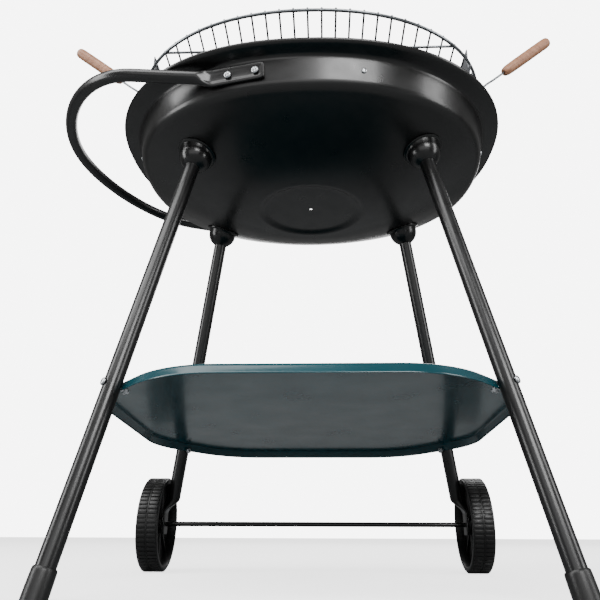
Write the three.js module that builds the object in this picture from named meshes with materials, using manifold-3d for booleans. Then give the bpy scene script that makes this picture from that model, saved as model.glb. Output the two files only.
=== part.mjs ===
// Trolley charcoal grill: a pressed steel bowl on four splayed tube legs, with two wheels, a low shelf,
// a push handle, a lift-off cooking grate with wooden grips, and a charcoal grate inside the bowl.
// Millimetres, +Z up, +X to the right and +Y to the back. The floor is z = 0. The pieces are built round the
// bowl's axis, x = y = 0, and moved together at the end.

import * as THREE from 'three';
import { LoftGeometry } from 'three/addons/geometries/LoftGeometry.js';
import { mergeVertices } from 'three/addons/utils/BufferGeometryUtils.js';
import Module from 'manifold-3d';

const wasm = await Module();
wasm.setup();

// ---------------------------------------------------------------- driving dimensions

const gap = 0.3;                  // air left between pieces that rest on each other
const boltClearance = 0.4;        // radial room round a bolt in its hole

// Bowl
const rimHalfDepth = 277.5;       // bowl centre to the rim's outer edge, front to back
const rimExtraWidth = 30.5;       // how much further the rim reaches sideways
const rimTop = 676;
const rimSquareness = 2.25;       // superellipse exponent of the rim (2 is an ellipse)
const bowlSheet = 1.5;
const flangeWidth = 19;           // rim edge in to the top of the wall
const flangeDrop = 15;            // rim edge down to the top of the wall
const wallHeight = 30;
const wallTaper = 4;              // how far the wall leans out over its height
const wallFoot = 13;              // width of the rounded corner between wall and dish
const dishFootRise = 51;          // base ring up to where the dish meets the rounded corner
const baseZ = 566;                // lowest ring of the bowl
const baseRingRadius = 91;
const recessRadius = 76;
const recessRise = 4;
const drainRadius = 4.5;

// Legs
const socketHalfWidth = 168.3;    // where the leg axes meet their sockets
const socketHalfDepth = 130.5;
const socketZ = 595.3;
const footHalfWidth = 270.6;      // where the leg axes meet the floor
const footHalfDepth = 260;
const legRadius = 11;
const legWall = 1.2;
const socketBallRadius = 24.5;
const socketBallDrop = 5;         // ball's middle below the leg axis's upper end
const socketFlangeRadius = 29.5;
const socketFlangeThickness = 5;
const socketPlugHeight = 12;
const legInset = 3;               // leg's top end below the ball's centre
const legBoltRadius = 3;
const footCapRadius = 13.5;
const footCapHeight = 32;
const footCapSole = 6;

// Wheels and axle
const wheelRadius = 77.8;
const wheelWidth = 36;
const wheelHalfTrack = 276.5;     // bowl centre to the middle of each wheel
const wheelRimDepth = 11;         // tread down to the inside of the wheel's rim
const wheelWeb = 5;
const wheelSpokes = 8;
const spokeRib = 7;
const hubRadius = 15;
const hubInset = 8;               // hub face behind the wheel's inner face
const axleY = 236;                // bowl axis back to the axle
const axleRadius = 4;
const wheelBoreClearance = 0.1;
const hubCapRadius = 11;
const hubCapLength = 7;
const flatThickness = 5;          // flattened tube end, over both walls
const flatWidth = 28;
const legFlatRise = 44;           // axle up to where the rear legs start to flatten
const legFlatTail = 17;           // flattened end below the axle

// Shelf
const shelfTopZ = 224.4;          // top face over the bowl's axis
const shelfTilt = 3.05;           // degrees, front edge up
const shelfHalfWidth = 268;
const shelfHalfDepth = 276;
const shelfCornerAngle = 42;      // degrees from +X to the normal of each corner side
const shelfCornerRadius = 130;
const shelfSheet = 1.2;
const shelfFlange = 13;
const shelfFlare = 3.6;
const shelfBoltDrop = 8;          // top face down to where the shelf bolts cross the legs
const shelfBoltRadius = 2.5;
const shelfClearance = 0.9;       // air between the shelf's flange and the legs

// Push handle
const handleRadius = 9;
const handleWall = 1.2;
const handleFlatThickness = 4.8;
const handleFlatWidth = 25;
const handleFlatStart = 58;       // bowl axis to the flattened end's tip
const handleFlatLength = 92;
const handleSquashLength = 22;
const handleAir = 0.9;            // flattened end off the bowl's wall at the screws
const handleZ = 645;
const handleReach = 402;          // bowl axis to the middle of the grip bar
const handleRise = 8.3;           // degrees that the loop climbs away from the bowl
const handleSpread = 5;           // degrees that each arm closes in, from its flattened end to the bend
const handleScrews = [69, 107];   // bowl axis to each screw
const handleScrewRadius = 2.2;
const handleScrewLength = 18;
const nutHeight = 4;
const nutRadius = 4.6;

// Cooking grate
const grateZ = 768;               // middle of the outer wire
const grateHalfWidth = 285;
const grateHalfDepth = 230;
const grateSquareness = 2.15;
const frameWire = 2.5;
const barWire = 1.5;
const crossWire = 2;
const barPitch = 20.45;
const barsEachSide = 13;
const crossRodOffset = 150;
const weldDepth = 0.7;
const gripWire = 2;
const gripAngle = 38;             // degrees above level
const gripLength = 108;
const gripRadius = 9.5;
const gripStart = 347;            // bowl axis to the grip's inner end
const gripStartZ = 841;
const gripBore = 60;

// Grate holders
const holderX = 256;
const holderSheet = 1.5;
const holderUprightWidth = 46;
const holderTopZ = 805;
const holderFootZ = 657;
const holderStripHeight = 16;
const toothPitch = 25;
const toothCount = 3;
const toothSlope = 15;
const holderTabHalfWidth = 52;
const holderTabHeight = 18;
const holderScrewOffset = 40;
const smallScrewRadius = 2;
const smallScrewHead = 3.8;

// Charcoal grate and its brackets
const coalZ = 636;                // middle of the outer wire
const coalHalfWidth = 246;
const coalHalfDepth = 236;
const coalPitch = 28;
const coalWire = 2;
const coalCrossOffset = 110;
const bracketX = 76;              // on the right; on the left the inner handle screws hold the brackets
const bracketWidth = 20;
const bracketSheet = 2;
const bracketLedge = 24;
const bracketHeight = 19;

const roundSides = 14;
const wireSides = 5;
const bowlSides = 48;

// ---------------------------------------------------------------- materials

function finish(color, roughness, metalness) {
  return new THREE.MeshStandardMaterial({ color, roughness, metalness });
}

const enamelBlack = () => finish(0x141413, 0.25, 0.0);
const paintBlack = () => finish(0x17171a, 0.35, 0.1);
const enamelTeal = () => finish(0x12494f, 0.2, 0.0);
const plasticBlack = () => finish(0x1b1b1b, 0.55, 0.0);
const zinc = () => finish(0xc9ccd0, 0.35, 1.0);
const galvanised = () => finish(0x8d8f94, 0.45, 1.0);
const chromeWire = () => finish(0x6f7376, 0.3, 1.0);
const ironWire = () => finish(0x2a2a2b, 0.6, 0.6);
const beech = () => finish(0xb88c74, 0.6, 0.0);

// ---------------------------------------------------------------- helpers

const group = new THREE.Group();

function addPiece(parent, name, geometry, material) {
  const mesh = new THREE.Mesh(geometry, material);
  mesh.name = name;
  parent.add(mesh);
  return mesh;
}

// A closed three.js geometry as a manifold solid: positions only, shared vertices merged.
function solidOf(geometry) {
  const bare = new THREE.BufferGeometry();
  bare.setAttribute('position', geometry.attributes.position);
  bare.setIndex(geometry.index);
  const merged = mergeVertices(bare, 1e-4);
  const index = merged.index.array;
  const triangles = [];
  for (let i = 0; i < index.length; i += 3) {
    const [a, b, c] = [index[i], index[i + 1], index[i + 2]];
    if (a !== b && b !== c && c !== a) {
      triangles.push(a, b, c);
    }
  }
  const mesh = new wasm.Mesh({
    numProp: 3,
    vertProperties: new Float32Array(merged.attributes.position.array),
    triVerts: new Uint32Array(triangles),
  });
  return new wasm.Manifold(mesh);
}

function geometryOf(solid) {
  const mesh = solid.getMesh();
  const geometry = new THREE.BufferGeometry();
  geometry.setAttribute('position', new THREE.BufferAttribute(new Float32Array(mesh.vertProperties), 3));
  geometry.setIndex(new THREE.BufferAttribute(new Uint32Array(mesh.triVerts), 1));
  geometry.computeVertexNormals();
  return geometry;
}

function cut(geometry, ...tools) {
  return geometryOf(tools.reduce((solid, tool) => solid.subtract(solidOf(tool)), solidOf(geometry)));
}

function join(...geometries) {
  return geometryOf(geometries.map(solidOf).reduce((all, solid) => all.add(solid)));
}

const degrees = (angle) => THREE.MathUtils.degToRad(angle);
const vector = (x, y, z) => new THREE.Vector3(x, y, z);

// A round bar from one point to another.
function rod(from, to, radius, sides = roundSides) {
  const along = to.clone().sub(from);
  const geometry = new THREE.CylinderGeometry(radius, radius, along.length(), sides);
  const turn = new THREE.Quaternion().setFromUnitVectors(vector(0, 1, 0), along.clone().normalize());
  geometry.applyQuaternion(turn);
  geometry.translate(...from.clone().add(to).multiplyScalar(0.5).toArray());
  return geometry;
}

// A profile of [radius, height] points turned about +Z.
function turned(profile, sides = roundSides) {
  const points = profile.map(([radius, height]) => new THREE.Vector2(radius, height));
  const geometry = new THREE.LatheGeometry(points, sides);
  geometry.rotateX(Math.PI / 2);
  return geometry;
}

function box(width, depth, height, centre) {
  const geometry = new THREE.BoxGeometry(width, depth, height);
  geometry.translate(...centre.toArray());
  return geometry;
}

// A flat plate with the outline given in (y, z), centred on the plane x = x.
function plateAcrossX(outline, x, thickness) {
  const shape = new THREE.Shape(outline.map(([y, z]) => new THREE.Vector2(y, z)));
  const geometry = new THREE.ExtrudeGeometry(shape, { depth: thickness, bevelEnabled: false });
  const basis = new THREE.Matrix4().makeBasis(vector(0, 1, 0), vector(0, 0, 1), vector(1, 0, 0));
  geometry.applyMatrix4(basis);
  geometry.translate(x - thickness / 2, 0, 0);
  return geometry;
}

// Point on a superellipse |x/a|^n + |y/b|^n = 1 at the parameter angle.
function superellipse(a, b, n, angle) {
  const c = Math.cos(angle);
  const s = Math.sin(angle);
  const x = a * Math.sign(c) * Math.abs(c) ** (2 / n);
  const y = b * Math.sign(s) * Math.abs(s) ** (2 / n);
  return new THREE.Vector2(x, y);
}

// How far a superellipse reaches along one half axis where the other coordinate is given.
function reachAt(halfAlong, halfAcross, n, across) {
  return halfAlong * (1 - (Math.abs(across) / halfAcross) ** n) ** (1 / n);
}

// A closed wire ring that follows a superellipse in the plane z.
function wireRing(a, b, n, z, wire, steps) {
  const geometry = new THREE.TorusGeometry(b, wire, wireSides, steps);
  const position = geometry.attributes.position;
  for (let i = 0; i < position.count; i += 1) {
    const angle = Math.atan2(position.getY(i), position.getX(i));
    const outwards = Math.hypot(position.getX(i), position.getY(i)) - b;
    const point = superellipse(a, b, n, angle);
    const ahead = superellipse(a, b, n, angle + 1e-3);
    const behind = superellipse(a, b, n, angle - 1e-3);
    const along = ahead.sub(behind).normalize();
    position.setXYZ(i, point.x + along.y * outwards, point.y - along.x * outwards, position.getZ(i) + z);
  }
  return geometry;
}

// Rings of a section that goes from round to flat, along stations {at, along, side, halfSide, halfUp, flat}.
function ovalLoft(stations, sides, shrink) {
  const sections = stations.map(({ at, along, side, halfSide, halfUp, flat }) => {
    const up = along.clone().cross(side).normalize();
    const across = up.clone().cross(along).normalize();
    const ring = [];
    for (let i = 0; i < sides; i += 1) {
      const angle = (i / sides) * 2 * Math.PI;
      const offset = superellipse(halfSide - shrink, halfUp - shrink, 2 + 3 * flat, angle);
      ring.push(at.clone().addScaledVector(across, offset.x).addScaledVector(up, offset.y));
    }
    return ring;
  });
  return new LoftGeometry(sections, { capStart: true, capEnd: true });
}

// A bent tube with open ends: the outer loft less an inner one that runs a little past both ends.
function tube(stations, wall, sides) {
  const bore = stations.map((station) => ({ ...station }));
  const first = bore[0];
  const last = bore[bore.length - 1];
  first.at = first.at.clone().addScaledVector(first.along, -1);
  last.at = last.at.clone().addScaledVector(last.along, 1);
  return cut(ovalLoft(stations, sides, 0), ovalLoft(bore, sides, wall));
}

// ---------------------------------------------------------------- bowl shape

const wallTopHalfDepth = rimHalfDepth - flangeWidth - 3;
const wallTopZ = rimTop - flangeDrop;
const wallFootHalfDepth = wallTopHalfDepth - wallTaper;
const wallFootZ = wallTopZ - wallHeight;
const dishFootHalfDepth = wallFootHalfDepth - wallFoot;
const dishFootZ = baseZ + dishFootRise;

// Outer side of the bowl's section, from the middle of the recess to the rim, in (half depth, height).
function bowlSection() {
  const path = new THREE.Path();
  path.moveTo(0, baseZ + recessRise);
  path.lineTo(recessRadius, baseZ + recessRise);
  path.lineTo(baseRingRadius, baseZ);
  path.bezierCurveTo(
    baseRingRadius + 60, baseZ + 6,
    dishFootHalfDepth - 30, dishFootZ - 15,
    dishFootHalfDepth, dishFootZ,
  );
  path.quadraticCurveTo(wallFootHalfDepth - 1, wallFootZ - 9, wallFootHalfDepth, wallFootZ);
  path.lineTo(wallTopHalfDepth, wallTopZ);
  path.lineTo(wallTopHalfDepth + 3, wallTopZ + 5);
  path.lineTo(rimHalfDepth - 3, rimTop - 6);
  path.lineTo(rimHalfDepth, rimTop - 3);
  path.lineTo(rimHalfDepth, rimTop);
  return path.getPoints(4);
}

const bowlProfile = bowlSection();

// The outline of the bowl at one half depth: round at the base ring, squarer and wider at the rim.
function bowlOutline(halfDepth) {
  const share = THREE.MathUtils.clamp((halfDepth - baseRingRadius) / (rimHalfDepth - baseRingRadius), 0, 1);
  return {
    a: halfDepth + rimExtraWidth * share,
    b: halfDepth,
    n: 2 + (rimSquareness - 2) * share,
  };
}

// The same section moved by a distance to its upper, inner side.
function offsetProfile(profile, distance) {
  return profile.map((point, i) => {
    const before = profile[Math.max(i - 1, 0)];
    const after = profile[Math.min(i + 1, profile.length - 1)];
    const along = after.clone().sub(before).normalize();
    const x = i === 0 ? 0 : point.x - along.y * distance;
    return new THREE.Vector2(Math.max(x, 0), point.y + along.x * distance);
  });
}

// A turned solid whose circles are drawn out to the bowl's outlines.
function bowlShaped(profile, sides) {
  const geometry = turned(profile.map((point) => [point.x, point.y]), sides);
  const position = geometry.attributes.position;
  for (let i = 0; i < position.count; i += 1) {
    const radius = Math.hypot(position.getX(i), position.getY(i));
    if (radius > 1e-6) {
      const { a, b, n } = bowlOutline(radius);
      const point = superellipse(a, b, n, Math.atan2(position.getY(i), position.getX(i)));
      position.setXY(i, point.x, point.y);
    }
  }
  return geometry;
}

// Half depth of the bowl outline that passes through a point in plan.
function outlineThrough(x, y) {
  let low = 0;
  let high = rimHalfDepth;
  for (let step = 0; step < 40; step += 1) {
    const middle = (low + high) / 2;
    const { a, b, n } = bowlOutline(middle);
    const inside = (Math.abs(x) / a) ** n + (Math.abs(y) / b) ** n < 1;
    if (inside) {
      high = middle;
    } else {
      low = middle;
    }
  }
  return (low + high) / 2;
}

// Height of the bowl's outer face over a point in plan.
function bowlHeightAt(x, y) {
  const halfDepth = outlineThrough(x, y);
  const i = bowlProfile.findIndex((point) => point.x > halfDepth);
  const before = bowlProfile[i - 1];
  const after = bowlProfile[i];
  return before.y + ((after.y - before.y) * (halfDepth - before.x)) / (after.x - before.x);
}

// Half depth of the bowl's wall at a height on the wall.
function wallHalfDepthAt(z) {
  return wallFootHalfDepth + (wallTaper * (z - wallFootZ)) / (wallTopZ - wallFootZ);
}

// Distance from the axis to the wall's outer face, front to back at x, or sideways at y.
function wallDepthAt(x, z) {
  const { a, b, n } = bowlOutline(wallHalfDepthAt(z));
  return reachAt(b, a, n, x);
}

function wallWidthAt(y, z) {
  const { a, b, n } = bowlOutline(wallHalfDepthAt(z));
  return reachAt(a, b, n, y);
}

const wallLean = Math.atan2(wallTaper, wallHeight);

// Outward direction of the wall, level at first and then leant down to stand square on the sheet.
function squareToWall(level) {
  return level.clone().normalize().multiplyScalar(Math.cos(wallLean)).setZ(-Math.sin(wallLean));
}

function wallNormal(x, y, z) {
  const { a, b, n } = bowlOutline(wallHalfDepthAt(z));
  const level = vector(
    (Math.sign(x) * Math.abs(x) ** (n - 1)) / a ** n,
    (Math.sign(y) * Math.abs(y) ** (n - 1)) / b ** n,
    0,
  );
  return squareToWall(level);
}

// A hole of the given length either side of a point.
function holeAt(at, direction, radius, reach = 20) {
  const from = at.clone().addScaledVector(direction, -reach);
  const to = at.clone().addScaledVector(direction, reach);
  return rod(from, to, radius + boltClearance, 10);
}

// ---------------------------------------------------------------- legs: four axes, each with a turned group

const sides = [['left', -1], ['right', 1]];
const rows = [['front', -1], ['rear', 1]];

function legPoint(xSign, ySign, z) {
  const share = 1 - z / socketZ;
  return vector(
    xSign * (socketHalfWidth + (footHalfWidth - socketHalfWidth) * share),
    ySign * (socketHalfDepth + (footHalfDepth - socketHalfDepth) * share),
    z,
  );
}

function legUp(xSign, ySign) {
  return legPoint(xSign, ySign, socketZ).sub(legPoint(xSign, ySign, 0)).normalize();
}

// A group at the socket whose +Z runs up the leg.
function legFrame(xSign, ySign) {
  const frame = new THREE.Group();
  frame.position.copy(legPoint(xSign, ySign, socketZ));
  frame.quaternion.setFromUnitVectors(vector(0, 0, 1), legUp(xSign, ySign));
  frame.updateMatrixWorld(true);
  group.add(frame);
  return frame;
}

// A geometry of the whole grill, moved into the coordinates of a turned group.
function intoFrame(geometry, frame) {
  return geometry.applyMatrix4(frame.matrixWorld.clone().invert());
}

// Distance from the socket's centre up the leg axis to the bowl's outer face.
function bowlAboveSocket(xSign, ySign) {
  const up = legUp(xSign, ySign);
  const start = legPoint(xSign, ySign, socketZ);
  let distance = 0;
  for (let step = 0; step < 12; step += 1) {
    const point = start.clone().addScaledVector(up, distance);
    distance += (bowlHeightAt(point.x, point.y) - point.z) / up.z;
  }
  return distance;
}

const axleZ = wheelRadius;
const wheelInnerX = wheelHalfTrack - wheelWidth / 2;
const hubInnerX = wheelInnerX + hubInset;
const flatX = hubInnerX - gap - flatThickness / 2;

// The shelf bolts cross the legs at right angles, level with the shelf's flange.
const shelfTiltRadians = degrees(shelfTilt);
const shelfBoltPlan = degrees(shelfCornerAngle);

function shelfBolt(xSign, ySign) {
  let z = shelfTopZ - shelfBoltDrop;
  for (let step = 0; step < 12; step += 1) {
    z = shelfTopZ - shelfBoltDrop - Math.tan(shelfTiltRadians) * legPoint(xSign, ySign, z).y;
  }
  const at = legPoint(xSign, ySign, z);
  const up = legUp(xSign, ySign);
  const out = vector(xSign * Math.cos(shelfBoltPlan), ySign * Math.sin(shelfBoltPlan), 0);
  out.addScaledVector(up, -out.dot(up)).normalize();
  return { at, out };
}

function shelfBoltHole(xSign, ySign) {
  const { at, out } = shelfBolt(xSign, ySign);
  return holeAt(at, out, shelfBoltRadius, 30);
}

function frontLeg(xSign) {
  const top = legPoint(xSign, -1, socketZ).addScaledVector(legUp(xSign, -1), -legInset);
  const bottom = legPoint(xSign, -1, footCapSole + gap + 4);
  const bore = rod(
    bottom.clone().addScaledVector(legUp(xSign, -1), -5),
    top.clone().addScaledVector(legUp(xSign, -1), 5),
    legRadius - legWall,
  );
  return cut(rod(bottom, top, legRadius), bore, shelfBoltHole(xSign, -1));
}

// The rear legs end flat and upright, on the inside of the wheel hubs.
function rearLeg(xSign) {
  const side = vector(xSign, 0, 0);
  const down = legUp(xSign, 1).negate();
  const top = legPoint(xSign, 1, socketZ).addScaledVector(down, legInset);
  const bend = legPoint(xSign, 1, axleZ + legFlatRise);
  const flatTop = vector(xSign * flatX, axleY, axleZ + 18);
  const flatEnd = vector(xSign * flatX, axleY, axleZ - legFlatTail);
  const round = { halfSide: legRadius, halfUp: legRadius, flat: 0 };
  const pressed = { halfSide: flatThickness / 2, halfUp: flatWidth / 2, flat: 1 };
  const half = {
    halfSide: (legRadius + flatThickness / 2) / 2,
    halfUp: (legRadius + flatWidth / 2) / 2,
    flat: 0.5,
  };
  const middle = bend.clone().lerp(flatTop, 0.5);
  const stations = [
    { at: top, along: down, side, ...round },
    { at: bend, along: down, side, ...round },
    { at: middle, along: flatTop.clone().sub(bend).normalize(), side, ...half },
    { at: flatTop, along: vector(0, 0, -1), side, ...pressed },
    { at: flatEnd, along: vector(0, 0, -1), side, ...pressed },
  ];
  const axleHole = holeAt(vector(xSign * flatX, axleY, axleZ), side, axleRadius);
  return cut(tube(stations, legWall, roundSides), shelfBoltHole(xSign, 1), axleHole);
}

function legSocket(frame) {
  const ball = [];
  const ballSteps = 5;
  for (let i = 0; i <= ballSteps; i += 1) {
    const angle = (-Math.PI / 2) * (1 - i / ballSteps);
    ball.push([socketBallRadius * Math.cos(angle), socketBallRadius * Math.sin(angle) - socketBallDrop]);
  }
  ball[0][0] = 0;
  const body = turned([
    ...ball,
    [socketBallRadius, 0],
    [socketFlangeRadius, 0],
    [socketFlangeRadius, socketFlangeThickness],
    [socketBallRadius, socketPlugHeight],
    [0, socketPlugHeight],
  ]);
  const legBore = rod(vector(0, 0, -40), vector(0, 0, -legInset + gap), legRadius + gap);
  const boltBore = holeAt(vector(0, 0, 0), vector(0, 0, 1), legBoltRadius);
  return cut(body, legBore, boltBore, intoFrame(bowlEnvelope(gap), frame));
}

// Everything the bowl fills, grown downwards by a distance, closed across the rim.
function bowlEnvelope(grow) {
  const grown = offsetProfile(bowlProfile, -grow);
  return bowlShaped([...grown, new THREE.Vector2(0, rimTop)], bowlSides);
}

// A hex-headed bolt with its washer on the bowl's inner face, pointing down into the socket.
function legBolt(bowlDistance) {
  const seat = bowlDistance + bowlSheet + 2.2;
  const washer = turned([[0, seat], [8, seat], [8, seat + 1.2], [0, seat + 1.2]], 12);
  const head = new THREE.CylinderGeometry(5.5, 5.5, 4.2, 6);
  head.rotateX(Math.PI / 2);
  head.translate(0, 0, seat + 1 + 2.1);
  const shank = rod(vector(0, 0, -legInset + 2 * gap), vector(0, 0, seat + 0.5), legBoltRadius, 10);
  return join(washer, head, shank);
}

function footCap() {
  const slope = legUp(1, -1);
  const bottom = -footCapHeight - 12;
  const sleeve = turned([
    [0, bottom],
    [footCapRadius, bottom],
    [footCapRadius, footCapHeight - 6],
    [footCapRadius - 1.2, footCapHeight],
    [0, footCapHeight],
  ]);
  const bore = rod(vector(0, 0, footCapSole / slope.z + 3.7), vector(0, 0, 80), legRadius + gap);
  return { sleeve, bore };
}

// ---------------------------------------------------------------- push handle's ends on the bowl's wall

// Each flattened end follows the chord between its two screws, and leans like the wall.
const handleSeat = handleScrews.map((x) => new THREE.Vector2(x, wallDepthAt(x, handleZ)));
const handleSlope = Math.atan2(handleSeat[0].y - handleSeat[1].y, handleSeat[1].x - handleSeat[0].x);

// A point on the middle line of a flattened end, at a distance from the bowl's axis.
function handleFlatPoint(distance, ySign) {
  const standOff = handleAir + handleFlatThickness / 2;
  const y = handleSeat[0].y + standOff - (distance - handleScrews[0]) * Math.tan(handleSlope);
  return vector(-distance, ySign * y, handleZ);
}

function handleOut(ySign) {
  return squareToWall(vector(-Math.sin(handleSlope), ySign * Math.cos(handleSlope), 0));
}

// ---------------------------------------------------------------- build: bowl

function boltHoleThroughBowl(xSign, ySign) {
  const start = legPoint(xSign, ySign, socketZ);
  const end = start.clone().addScaledVector(legUp(xSign, ySign), 60);
  return rod(start, end, legBoltRadius + boltClearance, 12);
}

// Where each screw through the wall stands: a point on the wall's outer face and the outward direction.
function bracketScrew(ySign) {
  const at = vector(bracketX, ySign * wallDepthAt(bracketX, handleZ), handleZ);
  return { at, out: wallNormal(at.x, at.y, at.z) };
}

function holderScrew(xSign, ySign) {
  const z = holderFootZ - holderTabHeight / 2;
  const at = vector(xSign * wallWidthAt(holderScrewOffset, z), ySign * holderScrewOffset, z);
  return { at, out: wallNormal(at.x, at.y, at.z) };
}

const handleHoles = [];
const bracketHoles = [];
const holderHoles = [];
for (const [, ySign] of rows) {
  for (const x of handleScrews) {
    handleHoles.push(holeAt(handleFlatPoint(x, ySign), handleOut(ySign), handleScrewRadius));
  }
  const { at, out } = bracketScrew(ySign);
  bracketHoles.push(holeAt(at, out, smallScrewRadius, 12));
  for (const [, xSign] of sides) {
    const screw = holderScrew(xSign, ySign);
    holderHoles.push(holeAt(screw.at, screw.out, smallScrewRadius, 12));
  }
}

const bowlInside = offsetProfile(bowlProfile, bowlSheet);
const rimInner = new THREE.Vector2(rimHalfDepth - bowlSheet, rimTop);
const bowlShell = bowlShaped([...bowlProfile, rimInner, ...bowlInside.slice(0, -1).reverse()], bowlSides);
const boltHoles = rows.flatMap(([, ySign]) => sides.map(([, xSign]) => boltHoleThroughBowl(xSign, ySign)));
const drain = rod(vector(0, 0, baseZ - 10), vector(0, 0, baseZ + 20), drainRadius, 12);
addPiece(
  group,
  'bowl',
  cut(bowlShell, drain, ...boltHoles, ...handleHoles, ...bracketHoles, ...holderHoles),
  enamelBlack(),
);

// ---------------------------------------------------------------- build: legs, sockets, feet

for (const [row, ySign] of rows) {
  for (const [side, xSign] of sides) {
    const frame = legFrame(xSign, ySign);
    addPiece(frame, `leg_socket_${row}_${side}`, legSocket(frame), plasticBlack());
    addPiece(frame, `leg_bolt_${row}_${side}`, legBolt(bowlAboveSocket(xSign, ySign)), zinc());
    const leg = ySign < 0 ? frontLeg(xSign) : rearLeg(xSign);
    addPiece(group, `${row}_leg_${side}`, leg, paintBlack());
    if (ySign < 0) {
      const foot = new THREE.Group();
      foot.position.copy(legPoint(xSign, ySign, 0));
      foot.quaternion.copy(frame.quaternion);
      foot.updateMatrixWorld(true);
      group.add(foot);
      const { sleeve, bore } = footCap();
      const floor = box(200, 200, 100, vector(foot.position.x, foot.position.y, -50));
      addPiece(foot, `foot_cap_${side}`, cut(sleeve, bore, intoFrame(floor, foot)), plasticBlack());
    }
  }
}

// ---------------------------------------------------------------- build: axle and wheels

const hubOuterX = wheelHalfTrack + wheelWidth / 2 - 4;
const capStartX = hubOuterX + gap;
const capBore = axleRadius + 0.2;
const axleEnd = 5;
addPiece(
  group,
  'axle',
  rod(vector(-capStartX - axleEnd, axleY, axleZ), vector(capStartX + axleEnd, axleY, axleZ), axleRadius),
  paintBlack(),
);

// One wheel about +X, its middle at the origin: rim, web with windows, hub.
function wheel() {
  const half = wheelWidth / 2;
  const inner = wheelRadius - wheelRimDepth;
  const profile = [
    [axleRadius + wheelBoreClearance, -half + hubInset],
    [hubRadius, -half + hubInset],
    [hubRadius, -wheelWeb / 2],
    [inner, -wheelWeb / 2],
    [inner + 3, -half],
    [wheelRadius - 3, -half],
    [wheelRadius, -half + 4],
    [wheelRadius, half - 4],
    [wheelRadius - 3, half],
    [inner + 3, half],
    [inner, wheelWeb / 2],
    [hubRadius, wheelWeb / 2],
    [hubRadius, half - 4],
    [axleRadius + wheelBoreClearance, half - 4],
    [axleRadius + wheelBoreClearance, -half + hubInset],
  ];
  const body = turned(profile, 32);
  const ribLength = inner - hubRadius + 3;
  const ribs = [];
  const windows = [];
  for (let i = 0; i < wheelSpokes; i += 1) {
    const angle = (i / wheelSpokes) * 2 * Math.PI;
    const rib = box(ribLength, spokeRib, wheelWeb + 10, vector(hubRadius - 1 + ribLength / 2, 0, 0));
    ribs.push(rib.rotateZ(angle));
    const window = new THREE.CylinderGeometry(9, 9, wheelWeb + 4, 6);
    window.rotateX(Math.PI / 2);
    window.translate((hubRadius + inner) / 2 - 5, 0, 0);
    windows.push(window.rotateZ(angle + Math.PI / wheelSpokes));
  }
  const geometry = cut(join(body, ...ribs), ...windows);
  geometry.rotateY(Math.PI / 2);
  return geometry;
}

for (const [side, xSign] of sides) {
  const wheelGroup = new THREE.Group();
  wheelGroup.position.set(xSign * wheelHalfTrack, axleY, axleZ);
  group.add(wheelGroup);
  const geometry = wheel();
  if (xSign < 0) {
    geometry.rotateZ(Math.PI);
  }
  addPiece(wheelGroup, `wheel_${side}`, geometry, plasticBlack());
  const cap = turned([
    [capBore, 0],
    [hubCapRadius, 0],
    [hubCapRadius, hubCapLength - 3],
    [hubCapRadius - 3, hubCapLength],
    [0, hubCapLength],
    [0, axleEnd + gap],
    [capBore, axleEnd + gap],
    [capBore, 0],
  ]);
  cap.rotateY(xSign * Math.PI / 2);
  cap.translate(xSign * capStartX, axleY, axleZ);
  addPiece(group, `hub_cap_${side}`, cap, zinc());
}

// ---------------------------------------------------------------- build: shelf

// Distance from the bowl's axis to the flange's outer line that just clears the front or rear legs.
function shelfReach(ySign) {
  const { at, out } = shelfBolt(1, ySign);
  const face = at.clone().addScaledVector(out, -(legRadius + shelfClearance)).setZ(at.z - shelfTopZ);
  face.applyAxisAngle(vector(1, 0, 0), shelfTiltRadians);
  const flare = (shelfFlare * shelfBoltDrop) / shelfFlange;
  return face.x * Math.cos(shelfBoltPlan) + Math.abs(face.y) * Math.sin(shelfBoltPlan) - flare;
}

const shelfCornerDistance = (shelfReach(-1) + shelfReach(1)) / 2;
const shelfSetBack = (shelfReach(1) - shelfReach(-1)) / (2 * Math.sin(shelfBoltPlan));

const shelfFrame = new THREE.Group();
shelfFrame.position.set(0, shelfSetBack, shelfTopZ - shelfSetBack * Math.tan(shelfTiltRadians));
shelfFrame.rotation.x = -shelfTiltRadians;
shelfFrame.updateMatrixWorld(true);
group.add(shelfFrame);

const shelfSides = [];
for (const base of [0, 180]) {
  shelfSides.push({ angle: base, distance: shelfHalfWidth });
  shelfSides.push({ angle: base + shelfCornerAngle, distance: shelfCornerDistance });
  shelfSides.push({ angle: base + 90, distance: shelfHalfDepth });
  shelfSides.push({ angle: base + 180 - shelfCornerAngle, distance: shelfCornerDistance });
}

// The shelf's rounded octagon, grown outwards, at one height of the shelf's own frame.
function shelfOutline(grow, z) {
  const points = [];
  const arcSteps = 6;
  shelfSides.forEach((from, i) => {
    const to = shelfSides[(i + 1) % shelfSides.length];
    const a = degrees(from.angle);
    const b = degrees(to.angle);
    const turn = Math.sin(b - a);
    const da = from.distance - shelfCornerRadius;
    const db = to.distance - shelfCornerRadius;
    const x = (da * Math.sin(b) - db * Math.sin(a)) / turn;
    const y = (db * Math.cos(a) - da * Math.cos(b)) / turn;
    const sweep = ((b - a) + 2 * Math.PI) % (2 * Math.PI);
    for (let step = 0; step <= arcSteps; step += 1) {
      const angle = a + (sweep * step) / arcSteps;
      const radius = shelfCornerRadius + grow;
      points.push(vector(x + radius * Math.cos(angle), y + radius * Math.sin(angle), z));
    }
  });
  return points;
}

// The tray is a solid slab with a flared, rounded edge, less the same slab moved in by the sheet.
function shelfSlab(inset, bottom) {
  const bend = 3;
  const flare = (shelfFlare * -bottom) / shelfFlange;
  const sections = [
    shelfOutline(flare - inset, bottom),
    shelfOutline(-inset, -bend - inset),
    shelfOutline(-bend / 3 - inset, -bend / 3 - inset),
    shelfOutline(-bend - inset, -inset),
  ];
  return new LoftGeometry(sections, { capStart: true, capEnd: true });
}

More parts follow.
